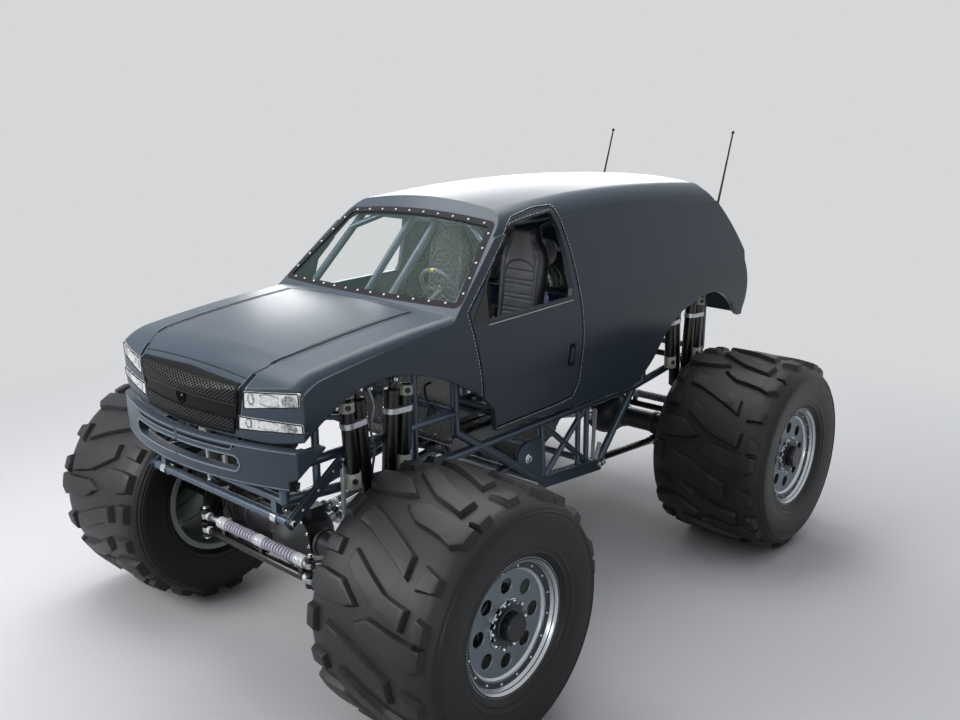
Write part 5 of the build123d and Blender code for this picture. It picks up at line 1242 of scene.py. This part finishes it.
top = max(range(RIM_STEPS), key=lambda k: on_rim(k).z)
bm = bmesh.new()
tube_into(bm, rim_arc(-1.0, 1.0, 6), 0.0163, 16, index=1)
for start in (2, 26, 50):
    tube_into(bm, rim_arc(start, start + 19, 30), 0.0160, 16)
bolts_into(bm, [(rim_turn @ Vector((0.026 * cos(a), 0.026 * sin(a), -0.0125)), -COLUMN_WAY)
                for a in turns(6)], 0.004, 0.004, index=2)
ring_into(bm, [(0.040, -0.010), (0.040, -0.0130), (0.036, -0.0150), (0.018, -0.0155), (0.016, -0.0190),
               (0, -0.0195)], 32, rim_turn, index=3)
from_bm("wheel_rim_grip", bm, [WHEEL_GRIP, YELLOW, CHROME, SATIN_BLACK], sharp=40)

FLOOR_TOP = 1.3397
STUD = ((0.0095, 0), (0.0090, 0.0016), (0.0045, 0.0020), (0, 0.0014))
bm = bmesh.new()
for y0 in (0.225, 0.345):
    box_into(bm, (0.760, 0.085, 0.012), (0.620, y0, FLOOR_TOP + 0.0365), 0.002)
    for row in (-0.024, 0.024):
        for k in range(19):
            at = (0.260 + k * 0.040, y0 + row, FLOOR_TOP + 0.0425)
            ring_into(bm, STUD, 10, Matrix.Translation(at), index=1)
    box_into(bm, (0.740, 0.006, 0.005), (0.620, y0, FLOOR_TOP + 0.044), 0.001, 1)
    for x in (0.300, 0.620, 0.940):
        box_into(bm, (0.030, 0.060, 0.032), (x, y0, FLOOR_TOP + 0.0150), 0.002)
from_bm("foot_rests", bm, [SATIN_BLACK, STEEL], sharp=40)

bm = bmesh.new()
for size, at, mat in (((0.004, 1.240, 0.560), (0.990, 0, 1.700), 0),
                      ((0.026, 1.240, 0.006), (1.001, 0, 1.980), 1),
                      ((0.060, 1.240, 0.006), (1.010, 0, 1.4215), 1)):
    box_into(bm, size, at, 0.001, mat)
bolts_into(bm, [((0.992, k * 0.150, z), AHEAD) for k in range(-4, 5) for z in (1.450, 1.960)], 0.007, 0.006,
           index=2)
from_bm("toe_board", bm, [TOE_PLATE_PAINTED_LIGHT, STEEL, CHROME], sharp=40)

PEDAL_ARM = ((0.992, 0.410, 1.840), (1.050, 0.415, 1.835), (1.082, 0.440, 1.790), (1.086, 0.480, 1.700),
             (1.078, 0.520, 1.620))
bm = bmesh.new()
tube_into(bm, curve_points(PEDAL_ARM), 0.0085, 10)
block_into(bm, (0.014, 0.075, 0.110),
           Matrix.Translation((1.083, 0.500, 1.640)) @ Matrix.Rotation(radians(-18), 4, "X"), 0.004, 1)
from_bm("brake_pedal", bm, [SATIN_BLACK, CHARCOAL], sharp=40)

# ---------------------------------------------------------------- engine
BLOWER = (-0.560, 2.600)  # x and z of its axis
BLOWER_CASE = ((0, -0.300), (0.080, -0.298), (0.104, -0.286), (0.114, -0.262), (0.114, 0.262),
               (0.104, 0.286), (0.080, 0.298), (0, 0.300))
MANIFOLD = ((0.060, 2.420), (0.170, 2.460), (0.262, 2.420), (0.306, 2.330), (0.312, 2.250))  # y, z
PLUG = ((0.018, 0), (0.030, 0.004), (0.030, 0.020), (0.022, 0.028), (0.022, 0.060), (0, 0.064))
HEADER = ((0, 0.255, 1.980), (0, 0.340, 1.975), (0.02, 0.400, 1.900), (0.08, 0.410, 1.740))  # back; y; z
HEADER_END = (-1.220, 0.400, 1.560)
PULLEY = ((0, 0), (0.070, 0), (0.074, 0.004), (0.074, 0.038), (0.070, 0.042), (0.030, 0.044), (0, 0.044))
bm = bmesh.new()
ring_into(bm, BLOWER_CASE, 48, pose_axis((BLOWER[0], 0, BLOWER[1]), SLEEVE))
for y in (-0.18, 0, 0.18):
    ring_into(bm, collar(0.1135, 0.1180, 0.012, 0.008), 48, pose_axis((BLOWER[0], y, BLOWER[1]), SLEEVE),
              index=1)
for way in (1, -1):
    # ribbed manifolds over ribbed covers
    for k in range(9):
        path = [(-0.575 - k * 0.070, way * y, z) for y, z in MANIFOLD]
        tube_into(bm, curve_points(path, 0.03), 0.024, index=1)
    for k in range(22):
        box_into(bm, (0.014, 0.070, 0.170), (-0.520 - k * 0.032, way * 0.285, 2.170), 0.004, 2)
    box_into(bm, (0.740, 0.080, 0.030), (-0.860, way * 0.288, 2.262), 0.010, 2)
    box_into(bm, (0.700, 0.060, 0.024), (-0.860, way * 0.288, 2.078), 0.008, 1)
    bolts_into(bm, [((-0.530 - k * 0.094, way * 0.288, 2.2765), UP) for k in range(8)], 0.010, 0.012, index=3)
    for k in range(4):
        ring_into(bm, PLUG, 20, pose_axis((-0.620 - k * 0.160, way * 0.200, 2.2995), UP), index=3)
    # header pipes down to the frame
    for k in range(4):
        x = -0.600 - k * 0.170
        path = [(x - back, way * y, z) for back, y, z in HEADER]
        path.append((HEADER_END[0], way * HEADER_END[1], HEADER_END[2]))
        tube_into(bm, curve_points(path, 0.04), 0.026, index=4)
    ring_into(bm, [(0.030, 0), (0.062, 0.03), (0.062, 0.30), (0.030, 0.33)], 32,
              pose_axis((-1.180, way * 0.400, 1.575), (-1, 0, -0.05)), index=4)
    # the blower's belt drive at the front
    ring_into(bm, PULLEY, 40, pose_axis((-0.4985, way * 0.115, 2.000 + way * 0.050), AHEAD), index=1)
from_bm("engine_detail", bm, [ENGINE_GREY, ENGINE_ALLOY, ENGINE_BLUE, CHROME, STEEL], sharp=35)


# ---------------------------------------------------------------- seats
SEAT_Y = 0.395
PAD_SLACK = 0.007  # the pads start this much small, and the filling swells them
PAD_SWELL = 0.014  # the most that a point may move
PAD_VOXEL = 0.0088
BACKREST = (  # height, front, back, half width
    (2.030, 0.020, -0.135, 0.200), (2.100, 0.045, -0.120, 0.215), (2.200, 0.022, -0.118, 0.225),
    (2.350, 0.000, -0.130, 0.235), (2.500, -0.022, -0.145, 0.243), (2.620, -0.040, -0.158, 0.243),
    (2.700, -0.048, -0.166, 0.215), (2.760, -0.053, -0.172, 0.165), (2.830, -0.062, -0.178, 0.140),
    (2.885, -0.078, -0.176, 0.118), (2.912, -0.105, -0.160, 0.080),
)
BACK_RIND = (  # round a backrest's section: share of the half width, share of the depth from the back
    (-1.00, 0.30), (-1.00, 0.72), (-0.94, 0.93), (-0.84, 1.00), (-0.72, 0.98), (-0.64, 0.88), (-0.56, 0.83),
    (-0.28, 0.85), (0.00, 0.86), (0.28, 0.85), (0.56, 0.83), (0.64, 0.88), (0.72, 0.98), (0.84, 1.00),
    (0.94, 0.93), (1.00, 0.72), (1.00, 0.30), (0.92, 0.07), (0.75, 0.00), (0.40, 0.00), (0.00, 0.00),
    (-0.40, 0.00), (-0.75, 0.00), (-0.92, 0.07),
)
CUSHION = (  # along, underside, top, half width
    (-0.100, 2.012, 2.080, 0.190), (-0.080, 1.996, 2.098, 0.215), (0.020, 1.990, 2.098, 0.232),
    (0.150, 1.990, 2.102, 0.238), (0.280, 1.990, 2.106, 0.238), (0.370, 1.990, 2.104, 0.232),
    (0.405, 1.998, 2.092, 0.218), (0.420, 2.014, 2.072, 0.200),
)
BACK_CHANNELS = (2.200, 2.235, 2.310, 2.345, 2.420, 2.455, 2.530)
CUSHION_CHANNELS = (0.150, 0.185, 0.260, 0.295, 0.370)
CHANNEL_FORM = (0.006, 0.006)  # width and depth of a sewn channel
PIPING_FORM = (0.006, 0.007)  # the same of the seam round the sewn panel
INSERT = 0.140  # half width of the sewn panel between the bolsters
INSERT_Z = (2.120, 2.520)  # the panel's straight edges on the backrest
INSERT_ARCH = 0.090
PRESSED_BACK = (2.130, 2.600)  # z from which the backrest is pressed in, and up to which its channels go
PRESSED_CUSHION = (2.060, 0.060)  # z and x from which the cushion is pressed in
STITCH_DASH, STITCH_WIDTH, STITCH_LIFT = (0.0065, 0.0035), 0.0018, 0.0012
STITCH_OFF = (-0.006, 0.006)  # either side of a channel
PANEL_STITCHES = (0.945, 1.055)  # the rows inside and outside the panel's seam, as shares of its size
SEAT_FRONT_X, SEAT_TOP_Z = 0.4, 2.3  # seams start here and land on the backrest and the cushion
HELD_BELOW = 2.000  # the cushion's foot stays on its pan
CLOTH_FRAMES = 20


def seat_start():
    """The backrest and the cushion, a little small, as two overlapping closed skins."""
    bm = bmesh.new()
    backrest, cushion = [], []
    for z, front, back, half in BACKREST:
        front, back, half = front - PAD_SLACK, back + PAD_SLACK, half - PAD_SLACK
        z = min(z, BACKREST[-1][0] - PAD_SLACK)
        backrest.append([(back + (front - back) * v, half * u, z) for u, v in BACK_RIND])
    for x, low, high, half in CUSHION:
        low, high, half = low + PAD_SLACK * 0.5, high - PAD_SLACK, half - PAD_SLACK
        cushion.append([(x, half * u, low + (high - low) * v) for u, v in BACK_RIND])
    for rows in (backrest, cushion):
        skin(bm, [[bm.verts.new(p) for p in row] for row in rows], capped=True)
    return mesh_of("seat_start", bm)


def swollen(me, name):
    """The mesh remeshed, blown up as cloth under pressure and frozen."""
    o = bpy.data.objects.new(name, me)
    bpy.context.scene.collection.objects.link(o)
    remesh = o.modifiers.new("remesh", "REMESH")
    remesh.mode = "VOXEL"
    remesh.voxel_size = PAD_VOXEL
    applied(o)
    start = [v.co.copy() for v in o.data.vertices]
    held = o.vertex_groups.new(name="held")
    held.add([v.index for v in o.data.vertices if v.co.z < HELD_BELOW], 1.0, "REPLACE")
    cloth = o.modifiers.new("cloth", "CLOTH")
    s = cloth.settings
    s.quality = 5
    s.mass = 0.35
    s.tension_stiffness = s.compression_stiffness = 12
    s.shear_stiffness = 6
    s.bending_stiffness = 0.8
    s.use_pressure = True
    s.uniform_pressure_force = 4.0
    s.effector_weights.gravity = 0
    s.vertex_group_mass = "held"
    cloth.collision_settings.use_collision = False
    for frame_number in range(1, CLOTH_FRAMES + 1):
        bpy.context.scene.frame_set(frame_number)
    applied(o)
    bpy.context.scene.frame_set(1)
    for v, p in zip(o.data.vertices, start):
        move = v.co - p
        if move.length > PAD_SWELL:
            v.co = p + move.normalized() * PAD_SWELL
    return o


def applied(o):
    """Freeze an object's modifiers into its mesh."""
    shown = o.evaluated_get(bpy.context.evaluated_depsgraph_get())
    me = bpy.data.meshes.new_from_object(shown)
    o.modifiers.clear()
    o.data = me


def insert_edge():
    """The sewn panel's outline on the backrest as (across, up), its top arched."""
    low, high = INSERT_Z
    arch = [(INSERT * cos(radians(a)), high + INSERT_ARCH * sin(radians(a))) for a in range(15, 180, 15)]
    return [(INSERT, low), (INSERT, high), *arch, (-INSERT, high), (-INSERT, low)]


def dip(distance, width, depth):
    """How deep a sewn channel presses at a distance from its middle."""
    return depth * math.exp(-(distance / width) ** 2)


def gap_to(p, a, b):
    """The distance of a point from the line between two others."""
    return (p - a.lerp(b, max(0, min(1, (p - a).dot(b - a) / (b - a).length_squared)))).length


def seat_piece():
    """One seat about y = 0: simulated, smoothed, and pressed in along its seams."""
    o = swollen(seat_start(), "seat_pad")
    smooth = o.modifiers.new("smooth", "SMOOTH")
    smooth.factor, smooth.iterations = 0.5, 3  # takes out the voxels' steps
    fine = o.modifiers.new("fine", "SUBSURF")
    fine.levels = fine.render_levels = 1
    applied(o)
    edge = [Vector(p) for p in insert_edge()]
    facing = [v.normal.copy() for v in o.data.vertices]
    for v, normal in zip(o.data.vertices, facing):
        x, y, z = v.co
        if z > PRESSED_BACK[0] and normal.x > 0.3:
            press = dip(min(gap_to(Vector((y, z)), a, b) for a, b in zip(edge, edge[1:])), *PIPING_FORM)
            if abs(y) < INSERT and z < PRESSED_BACK[1]:
                press += max(dip(z - row, *CHANNEL_FORM) for row in BACK_CHANNELS)
            v.co.x -= press
        elif z > PRESSED_CUSHION[0] and normal.z > 0.5 and x > PRESSED_CUSHION[1]:
            press = dip(abs(abs(y) - INSERT), *PIPING_FORM)
            if abs(y) < INSERT:
                press += max(dip(x - row, *CHANNEL_FORM) for row in CUSHION_CHANNELS)
            v.co.z -= press
    me = o.data
    bpy.data.objects.remove(o)
    return me


def seat_seams(tree):
    """Double stitching beside the channels and round the panel, laid on a seat about y = 0."""
    bm = bmesh.new()

    def stitched(line, ray, jump=0.06):
        """One row of stitches, dropped onto the seat."""
        strip_into(bm, tree, line, ray, STITCH_WIDTH, 0.004, lift=STITCH_LIFT, dash=STITCH_DASH, jump=jump)

    reach = INSERT - 0.008
    for row in BACK_CHANNELS:
        for off in STITCH_OFF:
            stitched([(SEAT_FRONT_X, y, row + off) for y in (-reach, reach)], BACKWARDS)
    for row in CUSHION_CHANNELS:
        for off in STITCH_OFF:
            stitched([(row + off, y, SEAT_TOP_Z) for y in (-reach, reach)], DOWN)
    for share in PANEL_STITCHES:
        stitched([(SEAT_FRONT_X, y * share, 2.36 + (z - 2.36) * (share if z > 2.5 else 1))
                  for y, z in insert_edge()], BACKWARDS, 0.02)
        for way in (1, -1):
            stitched([(x, way * INSERT * share, SEAT_TOP_Z) for x in (0.07, 0.40)], DOWN, 0.02)
    # piping round the shell's side
    for way in (1, -1):
        spine = [(back + (front - back) * 0.45, way * 0.5, z) for z, front, back, half in BACKREST[1:7]]
        strip_into(bm, tree, spine, (0, -way, 0), 0.0045, 0.008, lift=0.0030, index=1, jump=0.03)
    return bm


seat_mesh = seat_piece()
seat_tree = BVHTree.FromPolygons([v.co.copy() for v in seat_mesh.vertices],
                                 [list(p.vertices) for p in seat_mesh.polygons])
seams_mesh = mesh_of("seat_seams", seat_seams(seat_tree))
for hand, way in SIDES:
    place = Matrix.Translation((0, way * SEAT_Y, 0)) @ Matrix.Diagonal((1, way, 1, 1))
    seat = finish_piece(f"seat_pad_{hand}", seat_mesh.copy(), [LEATHER], sharp=60, place=place)
    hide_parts(f"seat_{hand}")
    finish_piece(f"seat_stitching_{hand}", seams_mesh.copy(), [STITCH, CHANNEL], sharp=60, place=place)
    # the hard shell's bracket onto the two tubes under the seat
    bm = bmesh.new()
    for side in (-0.150, 0.150):
        box_into(bm, (0.470, 0.030, 0.006), (0.130, way * SEAT_Y + side, 1.9865), 0.001)
    from_bm(f"seat_bracket_{hand}", bm, [SATIN_BLACK], sharp=40)


# ---------------------------------------------------------------- the CAD nodes' materials
DRESS = {
    PAINT: ("body_shell", "hood", "door_left", "door_right", "front_bumper"),
    TUBE_PAINT: ("front_frame", "belly_frame", "rear_frame", "roll_cage", "front_links",
                 "front_sway_bar"),
    SATIN_BLACK: ("rear_links", "antennas", "front_steer_link", "rear_steer_link", "seat_left", "seat_right"),
    CHARCOAL: ("front_axle", "rear_axle"),
    BLACK: ("rear_sway_bar",),
    BORDER: ("screen_frames",),
    GRILLE_BLACK: ("grille",),
    LAMP_CLEAR: ("headlamps",),
    TAIL_RED: ("tail_lamps",),
    STEEL: ("driveline",),
    FLOOR_PLATE: ("floor_pan",),
    WHEEL_GRIP: ("steering_wheel",),
    CAST: ("engine_block",),
    GLASS: ("screen_glass",),
}
for place, hand, x, way in CORNERS:
    DRESS[SATIN_BLACK] += (f"shocks_{place}_{hand}", f"knuckle_{place}_{hand}")
    DRESS[ALLOY] = DRESS.get(ALLOY, ()) + (f"rim_{place}_{hand}",)
    DRESS[RUBBER] = DRESS.get(RUBBER, ()) + (f"tyre_{place}_{hand}",)
for mat, names in DRESS.items():
    for name in names:
        nodes[name].data.materials.clear()
        nodes[name].data.materials.append(mat)
for o in nodes.values():
    for p in o.data.polygons:
        p.use_smooth = True
    o.data.set_sharp_from_angle(angle=radians(32))

# ---------------------------------------------------------------- floor, light, camera
BACKDROP = srgb(214, 215, 217)
FLOOR_TONES = (srgb(70, 70, 72), srgb(190, 190, 192))  # for bounced light, for the camera
FLOOR_FADE = (3.5, 9.0)  # where the floor starts and ends its fade
FLOOR_HALF = 60
SKY = ((0.00, 0.03), (0.22, 0.05), (0.45, 0.20), (0.75, 0.70), (1.00, 0.95))  # share of the height, grey


def seen_directly(tree):
    """1 for what the camera sees directly, in a mirror or through glass, otherwise 0."""
    path = node(tree, "LightPath")
    total = path.outputs["Is Camera Ray"]
    for name in ("Is Glossy Ray", "Is Transmission Ray"):
        total = node(tree, "Math", {0: total, 1: path.outputs[name]}, operation="MAXIMUM").outputs["Value"]
    return total


def mixed(tree, share, low, high, end):
    """Mix two shaders into a material's or the world's output."""
    mix = node(tree, "MixShader", {"Fac": share, 1: low, 2: high})
    tree.links.new(mix.outputs["Shader"], tree.nodes[end].inputs["Surface"])


def floor_material():
    """A pale floor that takes the truck's shadow and fades into the backdrop's colour far out."""
    m, tree, shader = principled("studio_floor", {"Roughness": 0.9, "Specular IOR Level": 0.1})
    tone = node(tree, "Mix", {"Factor": seen_directly(tree), "A": FLOOR_TONES[0], "B": FLOOR_TONES[1]},
                data_type="RGBA")
    tree.links.new(tone.outputs["Result"], shader.inputs["Base Color"])
    glow = node(tree, "Emission", {"Color": BACKDROP}).outputs["Emission"]
    out = node(tree, "VectorMath", {0: node(tree, "TexCoord").outputs["Object"]}, operation="LENGTH")
    fade = node(tree, "MapRange", {"Value": out.outputs["Value"], "From Min": FLOOR_FADE[0],
                                   "From Max": FLOOR_FADE[1]}, interpolation_type="SMOOTHSTEP")
    far = node(tree, "Math", {0: fade.outputs["Result"], 1: seen_directly(tree)}, operation="MULTIPLY")
    mixed(tree, far.outputs["Value"], shader.outputs["BSDF"], glow, "Material Output")
    return m


me = bpy.data.meshes.new("floor_plane")
me.from_pydata([(x * FLOOR_HALF, y * FLOOR_HALF, 0) for x, y in ((-1, -1), (1, -1), (1, 1), (-1, 1))], [],
               [(0, 1, 2, 3)])
me.materials.append(floor_material())
floor = bpy.data.objects.new("floor_plane", me)
bpy.context.scene.collection.objects.link(floor)

# world: the camera sees the backdrop's colour, the truck is lit from above by a softly graded sky
world = bpy.data.worlds.new("studio")
bpy.context.scene.world = world
world.use_nodes = True
tree = world.node_tree
split = node(tree, "SeparateXYZ", {"Vector": node(tree, "TexCoord").outputs["Generated"]})
height = node(tree, "MapRange", {"Value": split.outputs["Z"], "From Min": -0.10, "From Max": 1.0})
sky = node(tree, "ValToRGB", {"Fac": height.outputs["Result"]})
stops = sky.color_ramp.elements
for at, grey in SKY[1:-1]:
    stops.new(at)
for stop, (at, grey) in zip(stops, SKY):
    stop.color = (grey * 0.97, grey, grey * 1.04, 1)
lit = tree.nodes["Background"]
feed(tree, lit, {"Strength": 1.0, "Color": sky.outputs["Color"]})
seen = node(tree, "Background", {"Color": BACKDROP})
mixed(tree, seen_directly(tree), lit.outputs["Background"], seen.outputs["Background"], "World Output")


def area(name, at, to, size, power):
    """A soft rectangular lamp."""
    lamp = bpy.data.lights.new(name, "AREA")
    lamp.shape = "RECTANGLE"
    lamp.size, lamp.size_y = size
    lamp.energy = power
    o = bpy.data.objects.new(name, lamp)
    bpy.context.scene.collection.objects.link(o)
    o.location = at
    o.rotation_mode = "QUATERNION"
    o.rotation_quaternion = (Vector(to) - Vector(at)).to_track_quat("-Z", "Y")


area("top", (-0.5, -2.2, 8.5), (0, 0, 1.5), (9, 5), 560)
area("front", (9.0, -3.5, 5.5), (1.0, 0, 1.4), (5, 3.5), 560)
area("back", (-7.5, -7.0, 5.0), (0, 0, 2.4), (9, 3), 480)
area("left", (7.5, 7.5, 2.2), (1.0, 0, 1.4), (3, 2), 60)

bpy.context.scene.view_settings.view_transform = "Standard"

CAMERA_AT = Vector((5.873, 5.240, 3.842))
CAMERA_TO = Vector((0.0, 0.007, 1.740))
CAMERA_ROLL = -0.198
FOCAL = 982.19 / 960  # of the picture's width
cam = bpy.data.cameras.new("camera")
cam.sensor_width = 36.0
cam.lens = FOCAL * cam.sensor_width
cam.clip_end = 400
cam_o = bpy.data.objects.new("camera", cam)
bpy.context.scene.collection.objects.link(cam_o)
cam_o.location = CAMERA_AT
look = (CAMERA_TO - CAMERA_AT).to_track_quat("-Z", "Y").to_matrix()
cam_o.rotation_euler = (look @ Matrix.Rotation(radians(CAMERA_ROLL), 3, "Z")).to_euler()
bpy.context.scene.camera = cam_o
